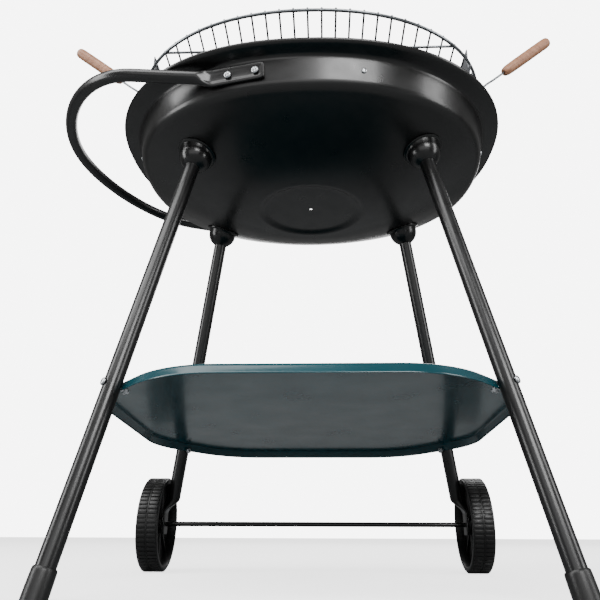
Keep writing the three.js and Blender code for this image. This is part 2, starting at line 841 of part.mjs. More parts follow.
const shelfHoles = rows.flatMap(([, ySign]) => sides.map(([, xSign]) => shelfBoltHole(xSign, ySign)));
addPiece(
  shelfFrame,
  'shelf',
  cut(shelfSlab(0, -shelfFlange), shelfSlab(shelfSheet, -shelfFlange - 4), ...shelfHoles.map((hole) => intoFrame(hole, shelfFrame))),
  enamelTeal(),
);

// A domed screw along +Z: the head's seat at z = 0, the shank reaching down by its length.
function panScrew(shankRadius, length, headRadius, headHeight) {
  return turned([
    [0, -length],
    [shankRadius, -length],
    [shankRadius, 0],
    [headRadius, 0],
    [headRadius * 0.7, headHeight],
    [0, headHeight],
  ], 10);
}

// A hex nut along +Z with its outer face at z = 0.
function hexNut(screwRadius) {
  const nut = new THREE.CylinderGeometry(nutRadius, nutRadius, nutHeight, 6);
  nut.rotateX(Math.PI / 2);
  nut.translate(0, 0, -nutHeight / 2);
  return cut(nut, rod(vector(0, 0, -2 * nutHeight), vector(0, 0, nutHeight), screwRadius + 0.05, 10));
}

// A group at a point whose +Z looks along a direction.
function facing(at, direction) {
  const frame = new THREE.Group();
  frame.position.copy(at);
  frame.quaternion.setFromUnitVectors(vector(0, 0, 1), direction.clone().normalize());
  group.add(frame);
  return frame;
}

const shelfNutSeat = -(legRadius + shelfClearance + shelfSheet + 2);
const shelfBoltLength = legRadius + gap - shelfNutSeat + nutHeight + 3;
for (const [row, ySign] of rows) {
  for (const [side, xSign] of sides) {
    const { at, out } = shelfBolt(xSign, ySign);
    const boltFrame = facing(at, out);
    const bolt = panScrew(shelfBoltRadius, shelfBoltLength, 5, 3.2);
    bolt.translate(0, 0, legRadius + gap);
    addPiece(boltFrame, `shelf_bolt_${row}_${side}`, bolt, zinc());
    const nut = hexNut(shelfBoltRadius);
    nut.translate(0, 0, shelfNutSeat);
    addPiece(boltFrame, `shelf_nut_${row}_${side}`, nut, zinc());
  }
}

// ---------------------------------------------------------------- build: push handle

function handleStations() {
  const flatEnd = handleFlatStart + handleFlatLength;
  const climbStart = flatEnd - handleSquashLength;
  const climb = (distance) => Math.max(distance - climbStart, 0) * Math.tan(degrees(handleRise));
  const frontLine = (distance) => {
    const point = handleFlatPoint(Math.min(distance, climbStart), -1);
    const past = Math.max(distance - climbStart, 0);
    point.x -= past;
    point.y += past * Math.tan(degrees(handleSpread));
    return point;
  };
  const bendStart = frontLine(flatEnd + 96);
  const bendControl = frontLine(flatEnd + 96 + 83);
  const curve = new THREE.CubicBezierCurve3(
    bendStart,
    bendControl,
    vector(-handleReach, -100, handleZ),
    vector(-handleReach, 0, handleZ),
  );
  const half = [
    { at: frontLine(handleFlatStart), flat: 1 },
    { at: frontLine(climbStart), flat: 1 },
    { at: frontLine(flatEnd - handleSquashLength / 2), flat: 0.55 },
    { at: frontLine(flatEnd + 4), flat: 0 },
    ...curve.getPoints(8).map((at) => ({ at, flat: 0 })),
  ];
  const mirrored = half.slice(0, -1).reverse().map(({ at, flat }) => (
    { at: vector(at.x, -at.y, at.z), flat }
  ));
  const all = [...half, ...mirrored];
  for (const { at } of all) {
    at.z += climb(-at.x);
  }
  return all.map(({ at, flat }, i) => {
    const before = all[Math.max(i - 1, 0)].at;
    const after = all[Math.min(i + 1, all.length - 1)].at;
    const along = after.clone().sub(before).normalize();
    const inwards = vector(along.y, -along.x, 0).normalize();
    return {
      at,
      along,
      side: inwards.multiplyScalar(Math.cos(wallLean * flat)).setZ(Math.sin(wallLean * flat)),
      halfSide: THREE.MathUtils.lerp(handleRadius, handleFlatThickness / 2, flat),
      halfUp: THREE.MathUtils.lerp(handleRadius, handleFlatWidth / 2, flat),
      flat,
    };
  });
}

addPiece(group, 'push_handle', cut(tube(handleStations(), handleWall, 12), ...handleHoles), paintBlack());

// Behind the inner screws a charcoal bracket stands between the bowl's wall and the nut.
const bracketRoom = 3 * gap + bracketHeight * Math.tan(wallLean);
const wallInnerFace = -(handleFlatThickness / 2 + handleAir + bowlSheet);
const nutTilt = nutRadius * Math.tan(wallLean);
for (const [row, ySign] of rows) {
  handleScrews.forEach((x, i) => {
    const label = ['inner', 'outer'][i];
    const backing = [bracketRoom + bracketSheet + nutTilt, 0][i];
    const screwFrame = facing(handleFlatPoint(x, ySign), handleOut(ySign));
    const screw = panScrew(handleScrewRadius, handleScrewLength, 5, 2.6);
    screw.translate(0, 0, handleFlatThickness / 2 + gap);
    addPiece(screwFrame, `handle_screw_${row}_${label}`, screw, zinc());
    const nut = hexNut(handleScrewRadius);
    nut.translate(0, 0, wallInnerFace - 2 * gap - backing);
    addPiece(screwFrame, `handle_nut_${row}_${label}`, nut, zinc());
  });
}

// ---------------------------------------------------------------- build: cooking grate and grips

const barZ = grateZ + frameWire + barWire - weldDepth;
const underBarZ = barZ - barWire - crossWire + weldDepth;
const gripDirection = vector(Math.cos(degrees(gripAngle)), 0, Math.sin(degrees(gripAngle)));

// Path of one grip wire on the right: under the frame, up through an S-bend, and on into the grip.
function gripWirePath() {
  const gripFoot = vector(gripStart, 0, gripStartZ);
  const lineStart = gripFoot.clone().addScaledVector(gripDirection, -48);
  return [
    vector(grateHalfWidth - 24, 0, underBarZ),
    vector(grateHalfWidth - 6, 0, grateZ - frameWire - gripWire + weldDepth),
    vector(grateHalfWidth + 5, 0, grateZ - frameWire + 1),
    lineStart.clone().lerp(vector(grateHalfWidth + 9, 0, grateZ + 6), 0.45),
    lineStart,
    lineStart.clone().lerp(gripFoot, 0.5),
    gripFoot,
    gripFoot.clone().addScaledVector(gripDirection, gripBore / 2),
    gripFoot.clone().addScaledVector(gripDirection, gripBore - 3),
  ];
}

function wireAlong(points, wire, steps) {
  const path = new THREE.CatmullRomCurve3(points, false, 'centripetal');
  const section = new THREE.Shape();
  section.absarc(0, 0, wire, 0, 2 * Math.PI);
  return new THREE.ExtrudeGeometry(section, { steps, extrudePath: path, bevelEnabled: false, curveSegments: 6 });
}

function cookingGrate() {
  const pieces = [wireRing(grateHalfWidth, grateHalfDepth, grateSquareness, grateZ, frameWire, 48)];
  for (let i = -barsEachSide; i <= barsEachSide; i += 1) {
    const x = i * barPitch;
    const end = reachAt(grateHalfDepth, grateHalfWidth, grateSquareness, x) + frameWire * 0.3;
    pieces.push(rod(vector(x, -end, barZ), vector(x, end, barZ), barWire, wireSides));
  }
  for (const y of [-crossRodOffset, crossRodOffset]) {
    const end = reachAt(grateHalfWidth, grateHalfDepth, grateSquareness, y);
    pieces.push(rod(vector(-end, y, underBarZ), vector(end, y, underBarZ), crossWire, wireSides));
  }
  const innerEnd = (barsEachSide - 1) * barPitch;
  pieces.push(rod(vector(-innerEnd, 0, underBarZ), vector(innerEnd, 0, underBarZ), crossWire, wireSides));
  for (const [, xSign] of sides) {
    const path = gripWirePath().map((point) => vector(xSign * point.x, point.y, point.z));
    pieces.push(wireAlong(path, gripWire, 18));
  }
  return join(...pieces);
}

addPiece(group, 'cooking_grate', cookingGrate(), chromeWire());

for (const [side, xSign] of sides) {
  const gripFrame = facing(
    vector(xSign * gripStart, 0, gripStartZ),
    vector(xSign * gripDirection.x, 0, gripDirection.z),
  );
  const body = turned([
    [0, 0],
    [gripRadius * 0.72, 0],
    [gripRadius * 0.95, 8],
    [gripRadius, 45],
    [gripRadius, gripLength - 4],
    [gripRadius * 0.8, gripLength],
    [0, gripLength],
  ]);
  const bore = rod(vector(0, 0, -5), vector(0, 0, gripBore), gripWire + 0.35, 12);
  addPiece(gripFrame, `wooden_grip_${side}`, cut(body, bore), beech());
}

// ---------------------------------------------------------------- build: grate holders

// The outer wire crosses each plate's plane on a slant; the ledges reach from its inner side to its middle.
const ledgeZ = grateZ - frameWire - gap;
const wireCrossing = reachAt(grateHalfDepth, grateHalfWidth, grateSquareness, holderX);
const toothRoot = wireCrossing - 7;
const toothTip = wireCrossing + 3;

// A U of two toothed uprights on a strip: the ledges take the grate's outer wire at three heights.
function holderOutline() {
  const edge = [];
  for (let i = toothCount - 1; i >= 0; i -= 1) {
    const top = ledgeZ - i * toothPitch;
    edge.push([toothRoot, top - toothSlope]);
    edge.push([toothTip, top - 3]);
    edge.push([toothTip, top]);
    edge.push([toothRoot, top]);
  }
  const inner = toothRoot - holderUprightWidth;
  const half = [
    [toothRoot - 20, holderFootZ],
    ...edge,
    [toothRoot, holderTopZ],
    [inner, holderTopZ],
    [inner, holderFootZ + holderStripHeight],
  ];
  const mirrored = half.map(([y, z]) => [-y, z]).reverse();
  return [...half, ...mirrored];
}

function grateHolder(xSign) {
  const plate = plateAcrossX(holderOutline(), xSign * holderX, holderSheet);
  const tabFoot = holderFootZ + holderSheet - holderTabHeight;
  const tabX = wallWidthAt(holderTabHalfWidth, tabFoot) - bowlSheet - gap - holderSheet;
  const strip = box(
    tabX - holderX + holderSheet,
    2 * holderTabHalfWidth,
    holderSheet,
    vector((xSign * (holderX + tabX)) / 2, 0, holderFootZ + holderSheet / 2),
  );
  const tab = box(
    holderSheet,
    2 * holderTabHalfWidth,
    holderTabHeight,
    vector(xSign * tabX, 0, tabFoot + holderTabHeight / 2),
  );
  return cut(join(plate, strip, tab), ...holderHoles);
}

for (const [side, xSign] of sides) {
  addPiece(group, `grate_holder_${side}`, grateHolder(xSign), galvanised());
  for (const [row, ySign] of rows) {
    const { at, out } = holderScrew(xSign, ySign);
    const screw = panScrew(smallScrewRadius, 12, smallScrewHead, 2.2);
    screw.translate(0, 0, gap);
    addPiece(facing(at, out), `holder_screw_${row}_${side}`, screw, zinc());
  }
}

// ---------------------------------------------------------------- build: charcoal grate and brackets

function charcoalGrate() {
  const squareness = 2.2;
  const pieces = [wireRing(coalHalfWidth, coalHalfDepth, squareness, coalZ, frameWire, 40)];
  const count = Math.floor((coalHalfDepth - 12) / coalPitch);
  const z = coalZ + frameWire + coalWire - weldDepth;
  for (let i = -count; i <= count; i += 1) {
    const y = i * coalPitch;
    const end = reachAt(coalHalfWidth, coalHalfDepth, squareness, y);
    pieces.push(rod(vector(-end, y, z), vector(end, y, z), coalWire, 5));
  }
  for (const x of [-coalCrossOffset, coalCrossOffset]) {
    const end = reachAt(coalHalfDepth, coalHalfWidth, squareness, x);
    const crossZ = z - 2 * coalWire + weldDepth;
    pieces.push(rod(vector(x, -end, crossZ), vector(x, end, crossZ), coalWire, 5));
  }
  return join(...pieces);
}

addPiece(group, 'charcoal_grate', charcoalGrate(), ironWire());

// An angle bracket with its tab upright against the wall; in its frame +Z is up and +Y points outwards.
const ledgeTop = coalZ - frameWire - gap;

function coalBracket(wallPoint, out, label) {
  const frame = new THREE.Group();
  frame.position.copy(wallPoint);
  frame.rotation.z = Math.atan2(out.y, out.x) - Math.PI / 2;
  frame.updateMatrixWorld(true);
  group.add(frame);
  const back = -(bowlSheet + bracketRoom);
  const top = ledgeTop - wallPoint.z;
  const ledge = box(bracketWidth, bracketLedge, bracketSheet, vector(0, back - bracketLedge / 2, top - bracketSheet / 2));
  const tab = box(
    bracketWidth,
    bracketSheet,
    bracketHeight,
    vector(0, back - bracketSheet / 2, top - bracketSheet + bracketHeight / 2),
  );
  const local = out.clone().applyAxisAngle(vector(0, 0, 1), -frame.rotation.z);
  const hole = holeAt(vector(0, 0, 0), local, handleScrewRadius);
  addPiece(frame, `coal_bracket_${label}`, cut(join(ledge, tab), hole), galvanised());
}

for (const [row, ySign] of rows) {
  const out = handleOut(ySign);
  const onWall = handleFlatPoint(handleScrews[0], ySign);
  onWall.addScaledVector(out, -(handleFlatThickness / 2 + handleAir));
  coalBracket(onWall, out, `${row}_left`);

  const right = bracketScrew(ySign);
  coalBracket(right.at, right.out, `${row}_right`);
  const screwFrame = facing(right.at, right.out);
  const seat = -(bowlSheet + bracketRoom + bracketSheet + nutTilt + gap);
  const screw = panScrew(smallScrewRadius, nutHeight + 2 - seat, smallScrewHead, 2.2);
  screw.translate(0, 0, gap);
  addPiece(screwFrame, `bracket_screw_${row}`, screw, zinc());
  const nut = hexNut(smallScrewRadius);
  nut.translate(0, 0, seat);
  addPiece(screwFrame, `bracket_nut_${row}`, nut, zinc());
}

// The origin stands on the floor under the middle of the whole grill's depth.
const extent = new THREE.Box3().setFromObject(group);
group.position.y = -(extent.min.y + extent.max.y) / 2;
const grill = new THREE.Group();
grill.add(group);

export default grill;
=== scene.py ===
"""Trolley charcoal grill: the visual model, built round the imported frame.

Sizes are millimetres round the bowl's own upright axis. They become metres in the frame when a
mesh is made.
"""
import sys

import logging
import math
from dataclasses import dataclass, field, replace
from enum import Enum
from typing import Any, Callable, Optional, Sequence

import bmesh
import bpy
from mathutils import Matrix, Vector


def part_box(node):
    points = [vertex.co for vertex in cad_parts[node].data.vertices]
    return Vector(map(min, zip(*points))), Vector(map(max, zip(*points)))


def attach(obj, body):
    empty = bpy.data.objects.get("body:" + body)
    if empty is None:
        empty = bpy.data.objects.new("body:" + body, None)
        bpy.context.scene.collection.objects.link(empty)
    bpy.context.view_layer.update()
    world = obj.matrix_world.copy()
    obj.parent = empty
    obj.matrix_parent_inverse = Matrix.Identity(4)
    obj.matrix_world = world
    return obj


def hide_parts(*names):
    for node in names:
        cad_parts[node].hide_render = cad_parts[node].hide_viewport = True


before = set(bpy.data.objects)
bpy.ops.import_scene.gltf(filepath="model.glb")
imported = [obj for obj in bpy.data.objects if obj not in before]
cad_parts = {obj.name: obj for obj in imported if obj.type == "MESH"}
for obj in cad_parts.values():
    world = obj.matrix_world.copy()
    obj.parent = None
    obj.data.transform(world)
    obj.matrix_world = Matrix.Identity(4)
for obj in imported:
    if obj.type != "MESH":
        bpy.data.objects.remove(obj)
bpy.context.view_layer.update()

LOG = logging.getLogger("grill")
MM = 0.001
TAU = 2 * math.pi
SIDES = (-1, 1)
ROWS = tuple(zip(SIDES, ("front", "rear")))
ENDS = tuple(zip(SIDES, ("left", "right")))
SEAT_GAP = 0.3                    # millimetres between a piece and what it is screwed to
CRISP_DEGREES = 35.0              # edges sharper than this stay crisp
X_AXIS = Vector((1, 0, 0))
Z_AXIS = Vector((0, 0, 1))

# The bowl's axis in the frame, in millimetres.
BOWL_LOW, BOWL_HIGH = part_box("bowl")
BOWL_Y = (BOWL_LOW.y + BOWL_HIGH.y) / 2 / MM


class Body(Enum):
    """The frame's rigid bodies."""

    GRILL = "grill"
    LEFT_WHEEL = "left_wheel"
    RIGHT_WHEEL = "right_wheel"
    COOKING_RACK = "cooking_rack"
    CHARCOAL_RACK = "charcoal_rack"


# ---------------------------------------------------------------- finishes


def linear(code: str) -> tuple[float, float, float, float]:
    """Turns an sRGB hex colour to linear red, green, blue and alpha.

    Args:
        code: six hex digits, such as "B88C74".

    Returns:
        Linear values for a shader socket.
    """
    parts = [int(code[i:i + 2], 16) / 255 for i in (0, 2, 4)]
    bent = [p / 12.92 if p <= 0.04045 else ((p + 0.055) / 1.055) ** 2.4 for p in parts]
    return bent[0], bent[1], bent[2], 1.0


def add_node(
    tree: bpy.types.NodeTree,
    kind: str,
    values: Optional[dict[Any, Any]] = None,
    links: Optional[dict[Any, bpy.types.NodeSocket]] = None,
    **settings: Any,
) -> bpy.types.Node:
    """Adds one node with its settings, socket values and incoming links.

    Args:
        tree: the node tree to add to.
        kind: the node's type name.
        values: socket name or number to value.
        links: socket name or number to the socket that feeds it.
        settings: the node's own properties.

    Returns:
        The new node.
    """
    node = tree.nodes.new(kind)
    for key, value in settings.items():
        setattr(node, key, value)
    for key, value in (values or {}).items():
        node.inputs[key].default_value = value
    for key, socket in (links or {}).items():
        tree.links.new(socket, node.inputs[key])
    return node


def noise(
    tree: bpy.types.NodeTree, place: bpy.types.NodeSocket, size_mm: float, detail: float
) -> bpy.types.NodeSocket:
    """Adds a noise texture whose patches have a real size.

    Args:
        tree: the material's tree.
        place: coordinates, in metres.
        size_mm: the size of a patch.
        detail: how many finer layers it has.

    Returns:
        Its grey output.
    """
    scale = {"Scale": 1 / (size_mm * MM), "Detail": detail}
    return add_node(tree, "ShaderNodeTexNoise", scale, {"Vector": place}).outputs["Fac"]


def ramp(
    tree: bpy.types.NodeTree, factor: bpy.types.NodeSocket, *stops: tuple[float, str]
) -> bpy.types.NodeSocket:
    """Blends between two colours.

    Args:
        tree: the material's tree.
        factor: what decides the blend.
        stops: two pairs of position and sRGB hex colour.

    Returns:
        The colour output.
    """
    blend = add_node(tree, "ShaderNodeValToRGB", links={"Fac": factor})
    for element, (position, code) in zip(blend.color_ramp.elements, stops):
        element.position = position
        element.color = linear(code)
    return blend.outputs["Color"]


@dataclass(frozen=True)
class Finish:
    """A surface: its base shader values, a soft change of tone, and two sizes of relief.

    The fields ending in _mm are the real sizes of what the surface shows.
    """

    name: str
    slot: str
    colour: str
    tone: str
    roughness: float
    rougher: float
    metallic: float = 0.0
    coat: float = 0.0
    coat_roughness: float = 0.1
    tone_mm: float = 60.0
    grain_mm: float = 1.0
    grain_relief_mm: float = 0.02
    sheet_mm: float = 90.0
    sheet_relief_mm: float = 0.0

    def colour_socket(
        self, tree: bpy.types.NodeTree, place: bpy.types.NodeSocket
    ) -> bpy.types.NodeSocket:
        """Builds the colour: two close tones in soft patches.

        Args:
            tree: the material's tree.
            place: Object coordinates, in metres.

        Returns:
            The colour output.
        """
        patches = noise(tree, place, self.tone_mm, 4.0)
        return ramp(tree, patches, (0.35, self.colour), (0.7, self.tone))

    def relief_socket(
        self, tree: bpy.types.NodeTree, place: bpy.types.NodeSocket
    ) -> bpy.types.NodeSocket:
        """Builds the relief: a fine grain over the sheet's own slow waves.

        Args:
            tree: the material's tree.
            place: Object coordinates, in metres.

        Returns:
            The normal output.
        """
        slow = add_node(
            tree, "ShaderNodeBump", {"Distance": self.sheet_relief_mm * MM, "Strength": 1.0},
            {"Height": noise(tree, place, self.sheet_mm, 1.0)},
        )
        fine = add_node(
            tree, "ShaderNodeBump", {"Distance": self.grain_relief_mm * MM, "Strength": 1.0},
            {"Height": noise(tree, place, self.grain_mm, 2.0), "Normal": slow.outputs["Normal"]},
        )
        return fine.outputs["Normal"]

    def build(self) -> bpy.types.Material:
        """Makes the material, once for each name.

        Returns:
            The new material, or the one already made.
        """
        known = bpy.data.materials.get(self.name)
        if known is not None:
            return known
        material = bpy.data.materials.new(self.name)
        material.use_nodes = True
        tree = material.node_tree
        shader = tree.nodes["Principled BSDF"]
        place = add_node(tree, "ShaderNodeTexCoord").outputs["Object"]
        shader.inputs["Metallic"].default_value = self.metallic
        shader.inputs["Coat Weight"].default_value = self.coat
        shader.inputs["Coat Roughness"].default_value = self.coat_roughness
        rough = add_node(
            tree, "ShaderNodeMapRange",
            {"From Min": 0.3, "From Max": 0.7, "To Min": self.roughness, "To Max": self.rougher},
            {"Value": noise(tree, place, self.tone_mm / 2.5, 5.0)},
        )
        tree.links.new(self.colour_socket(tree, place), shader.inputs["Base Color"])
        tree.links.new(rough.outputs["Result"], shader.inputs["Roughness"])
        tree.links.new(self.relief_socket(tree, place), shader.inputs["Normal"])
        return material


@dataclass(frozen=True)
class Spangle(Finish):
    """Hot-dip galvanised sheet: each zinc crystal has its own shade."""

    crystal_mm: float = 5.0

    def colour_socket(
        self, tree: bpy.types.NodeTree, place: bpy.types.NodeSocket
    ) -> bpy.types.NodeSocket:
        """Builds flat-shaded crystals between the two tones.

        Args:
            tree: the material's tree.
            place: Object coordinates, in metres.

        Returns:
            The colour output.
        """
        cells = add_node(
            tree, "ShaderNodeTexVoronoi", {"Scale": 1 / (self.crystal_mm * MM)}, {"Vector": place},
        )
        shade = add_node(
            tree, "ShaderNodeSeparateColor", links={"Color": cells.outputs["Color"]},
        )
        return ramp(tree, shade.outputs["Red"], (0.0, self.colour), (1.0, self.tone))


@dataclass(frozen=True)
class TurnedWood(Finish):
    """Beech turned on a lathe: long soft grain with short dark flecks, both along the grip."""

    lean_degrees: float = 38.0
    mirrored: bool = False
    ring_mm: float = 4.0
    fleck_mm: float = 0.7
    ring_stretch: float = 9.0
    fleck_stretch: float = 6.0
    fleck_colour: str = "7A4E36"

    def along_grip(
        self, tree: bpy.types.NodeTree, place: bpy.types.NodeSocket, stretch: float
    ) -> bpy.types.NodeSocket:
        """Turns Object coordinates so that X runs along the grip, then draws them out along it.

        Args:
            tree: the material's tree.
            place: Object coordinates, in metres.
            stretch: how many times longer than wide the pattern is.

        Returns:
            The turned coordinates.
        """
        lean = math.radians(self.lean_degrees if not self.mirrored else -self.lean_degrees)
        turned = add_node(
            tree, "ShaderNodeMapping", {"Rotation": (0.0, lean, 0.0)}, {"Vector": place},
            vector_type="POINT",
        )
        drawn = add_node(
            tree, "ShaderNodeMapping", {"Scale": (1 / stretch, 1.0, 1.0)},
            {"Vector": turned.outputs["Vector"]}, vector_type="POINT",
        )
        return drawn.outputs["Vector"]

    def colour_socket(
        self, tree: bpy.types.NodeTree, place: bpy.types.NodeSocket
    ) -> bpy.types.NodeSocket:
        """Builds growth bands between the two tones, with darker flecks over them.

        Args:
            tree: the material's tree.
            place: Object coordinates, in metres.

        Returns:
            The colour output.
        """
        along = self.along_grip(tree, place, self.ring_stretch)
        bands = noise(tree, along, self.ring_mm, 3.0)
        blend = ramp(tree, bands, (0.3, self.tone), (0.68, self.colour))
        along = self.along_grip(tree, place, self.fleck_stretch)
        flecks = noise(tree, along, self.fleck_mm, 1.0)
        sparse = add_node(
            tree, "ShaderNodeMapRange",
            {"From Min": 0.6, "From Max": 0.75, "To Min": 0.0, "To Max": 0.35},
            {"Value": flecks},
        )
        dark = add_node(
            tree, "ShaderNodeMix", {"B": linear(self.fleck_colour)},
            {"Factor": sparse.outputs["Result"], "A": blend}, data_type="RGBA",
        )
        return dark.outputs["Result"]


# Vitreous enamel on pressed steel: deep black, glassy, slightly wavy, so highlights are soft-edged.
BLACK_ENAMEL = Finish(
    "black_vitreous_enamel", "black_enamel", "070707", "0B0A0A", 0.27, 0.36, coat=0.2,
    coat_roughness=0.16, grain_mm=1.6, grain_relief_mm=0.012, sheet_mm=120.0, sheet_relief_mm=0.5,
)
# Powder coat on drawn tube: semi-gloss black with a fine orange peel.
BLACK_POWDER = Finish(
    "black_powder_coat", "black_paint", "090909", "0E0E0F", 0.26, 0.34, coat=0.2,
    coat_roughness=0.2, grain_mm=1.2, grain_relief_mm=0.006, sheet_mm=40.0, sheet_relief_mm=0.05,
)
# Vitreous enamel in dark teal: glassy, with the pressed sheet's faint waves in its reflections.
TEAL_ENAMEL = Finish(
    "teal_vitreous_enamel", "teal_enamel", "0A3B43", "0E464F", 0.2, 0.28, coat=0.2,
    coat_roughness=0.1, tone_mm=140.0, grain_mm=1.8, grain_relief_mm=0.008, sheet_mm=110.0,
    sheet_relief_mm=0.35,
)
# Injection-moulded polypropylene: matt-to-satin black with a spark-eroded texture.
BLACK_PLASTIC = Finish(
    "moulded_black_polypropylene", "black_plastic", "0D0D0D", "141414", 0.34, 0.44,
    grain_mm=0.8, grain_relief_mm=0.006,
)
# The sockets come from a polished mould, so the same plastic is glossier there.
GLOSS_PLASTIC = Finish(
    "polished_black_polypropylene", "black_plastic", "0A0A0A", "101010", 0.2, 0.28,
    grain_mm=1.5, grain_relief_mm=0.01,
)
# Electroplated zinc on cold-headed screws: bright, faintly clouded metal.
ZINC_PLATE = Finish(
    "bright_zinc_plate", "zinc", "D6D8DA", "B4B8BC", 0.22, 0.38, metallic=1.0, tone_mm=6.0,
    grain_mm=0.7, grain_relief_mm=0.01,
)
# Galvanised sheet: grey zinc crystals a few millimetres across under a dull sheen.
GALVANISED = Spangle(
    "spangled_galvanised_sheet", "galvanised", "7E8084", "9A9CA0", 0.4, 0.52, metallic=0.85,
    tone_mm=20.0, grain_mm=1.0, grain_relief_mm=0.015,
)
# Chromed drawn wire: grey mirror with a fine grain lost in a soft haze.
CHROMED_WIRE = Finish(
    "chromed_drawn_wire", "chromed_wire", "8E9295", "777B7E", 0.24, 0.36, metallic=1.0,
    tone_mm=15.0, grain_mm=0.8, grain_relief_mm=0.004,
)
# Hot-rolled wire with mill scale: dark, dry and slightly brown.
IRON_WIRE = Finish(
    "blackened_mill_scale_wire", "iron_wire", "1C1B1A", "2A2624", 0.55, 0.75, metallic=0.5,
    tone_mm=12.0, grain_mm=0.9, grain_relief_mm=0.05,
)
# Turned beech, bare: pale pinkish brown, silky, with ray flecks along the grain.
BEECH_LEFT = TurnedWood(
    "turned_beech_left", "beech", "B58567", "94654A", 0.42, 0.55, tone_mm=25.0,
    grain_mm=0.8, grain_relief_mm=0.004,
)
BEECH_RIGHT = replace(BEECH_LEFT, name="turned_beech_right", mirrored=True)


# ---------------------------------------------------------------- shapes


def polar(radius: float, share: float, z: float) -> Vector:
    """Point at a height z and a share of a full turn round the Z axis."""
    return Vector((radius * math.cos(TAU * share), radius * math.sin(TAU * share), z))


def superellipse(a: float, b: float, n: float, angle: float) -> tuple[float, float]:
    """Point on |x/a|^n + |y/b|^n = 1 at a parameter angle.

    Args:
        a: reach along x.
        b: reach along y.
        n: the power: 2 is an ellipse, more is squarer.
        angle: the parameter, in radians.

    Returns:
        x and y.
    """
    c, s = math.cos(angle), math.sin(angle)
    return (
        a * math.copysign(abs(c) ** (2 / n), c),
        b * math.copysign(abs(s) ** (2 / n), s),
    )


def reach_at(along: float, across: float, n: float, other: float) -> float:
    """How far a superellipse reaches along one axis where the other coordinate is given."""
    return along * (1 - (abs(other) / across) ** n) ** (1 / n)


def bezier(points: Sequence[Vector], steps: int) -> list[Vector]:
    """Samples a cubic Bezier, both ends included.

    Args:
        points: start, two controls and end.
        steps: number of spans.

    Returns:
        steps + 1 points.
    """
    out = []
    for i in range(steps + 1):
        t = i / steps
        weights = ((1 - t) ** 3, 3 * t * (1 - t) ** 2, 3 * t * t * (1 - t), t ** 3)
        out.append(sum((p * w for p, w in zip(points, weights)), Vector((0,) * len(points[0]))))
    return out


def rounded_path(points: Sequence[Vector], steps: int) -> list[Vector]:
    """Samples a Catmull-Rom curve through the points, both ends included.

    Args:
        points: the points it passes.
        steps: spans between two of them.

    Returns:
        The sampled points.
    """
    ends = [2 * points[0] - points[1], *points, 2 * points[-1] - points[-2]]
    out = []
    for a, b, c, d in zip(ends, ends[1:], ends[2:], ends[3:]):
        for i in range(steps):
            t = i / steps
            out.append(0.5 * (
                2 * b + (c - a) * t + (2 * a - 5 * b + 4 * c - d) * t * t
                + (3 * b - a - 3 * c + d) * t ** 3
            ))
    out.append(points[-1].copy())
    return out


def smooth(t: float) -> float:
    """Eases 0..1 with level ends."""
    t = min(max(t, 0.0), 1.0)
    return t * t * (3 - 2 * t)


@dataclass
class Shape:
    """Points in millimetres, and faces or edges between them."""

    points: list[Vector] = field(default_factory=list)
    faces: list[tuple[int, ...]] = field(default_factory=list)
    edges: list[tuple[int, int]] = field(default_factory=list)

    def add(self, other: "Shape") -> "Shape":
        """Takes in another shape's points, faces and edges.

        Args:
            other: the shape to take in.

        Returns:
            This shape.
        """
        start = len(self.points)
        self.points += other.points
        self.faces += [tuple(i + start for i in face) for face in other.faces]
        self.edges += [(a + start, b + start) for a, b in other.edges]
        return self

    def moved(self, matrix: Matrix) -> "Shape":
        """Returns a copy carried by a matrix."""
        return Shape([matrix @ p for p in self.points], list(self.faces), list(self.edges))

    @classmethod
    def loft(
        cls, rings: Sequence[Sequence[Vector]], capped: bool = True, looped: bool = False
    ) -> "Shape":
        """Skins rings of equal length.

        Args:
            rings: closed rings of points, in order.
            capped: close the first and last ring with a face.
            looped: join the last ring to the first instead.

        Returns:
            The skinned shape.
        """
        count = len(rings[0])
        shape = cls([p for ring in rings for p in ring])
        spans = len(rings) if looped else len(rings) - 1
        for i in range(spans):
            low, high = i * count, ((i + 1) % len(rings)) * count
            for j in range(count):
                k = (j + 1) % count
                shape.faces.append((low + j, low + k, high + k, high + j))
        if capped and not looped:
            shape.faces.append(tuple(reversed(range(count))))
            last = (len(rings) - 1) * count
            shape.faces.append(tuple(range(last, last + count)))
        return shape

    @classmethod
    def turned(
        cls, profile: Sequence[tuple[float, float]], count: int, looped: bool = False
    ) -> "Shape":
        """Turns a (radius, height) profile about +Z; ends near the axis are capped.

        Args:
            profile: pairs of radius and height.
            count: points round the axis.
            looped: the profile closes on itself.

        Returns:
            The turned shape.
        """
        rings = [[polar(r, i / count, z) for i in range(count)] for r, z in profile]
        return cls.loft(rings, looped=looped)

    @classmethod
    def line(cls, points: Sequence[Vector], closed: bool = False) -> "Shape":
        """A chain of edges through the points.

        Args:
            points: the points in order.
            closed: join the last point to the first.

        Returns:
            The chain.
        """
        edges = [(i, i + 1) for i in range(len(points) - 1)]
        if closed:
            edges.append((len(points) - 1, 0))
        return cls(list(points), edges=edges)

    @classmethod
    def plate(cls, outline: Sequence[Vector], thickness: Vector) -> "Shape":
        """A flat plate: an outline and the same outline moved by the thickness."""
        return cls.loft([list(outline), [p + thickness for p in outline]])


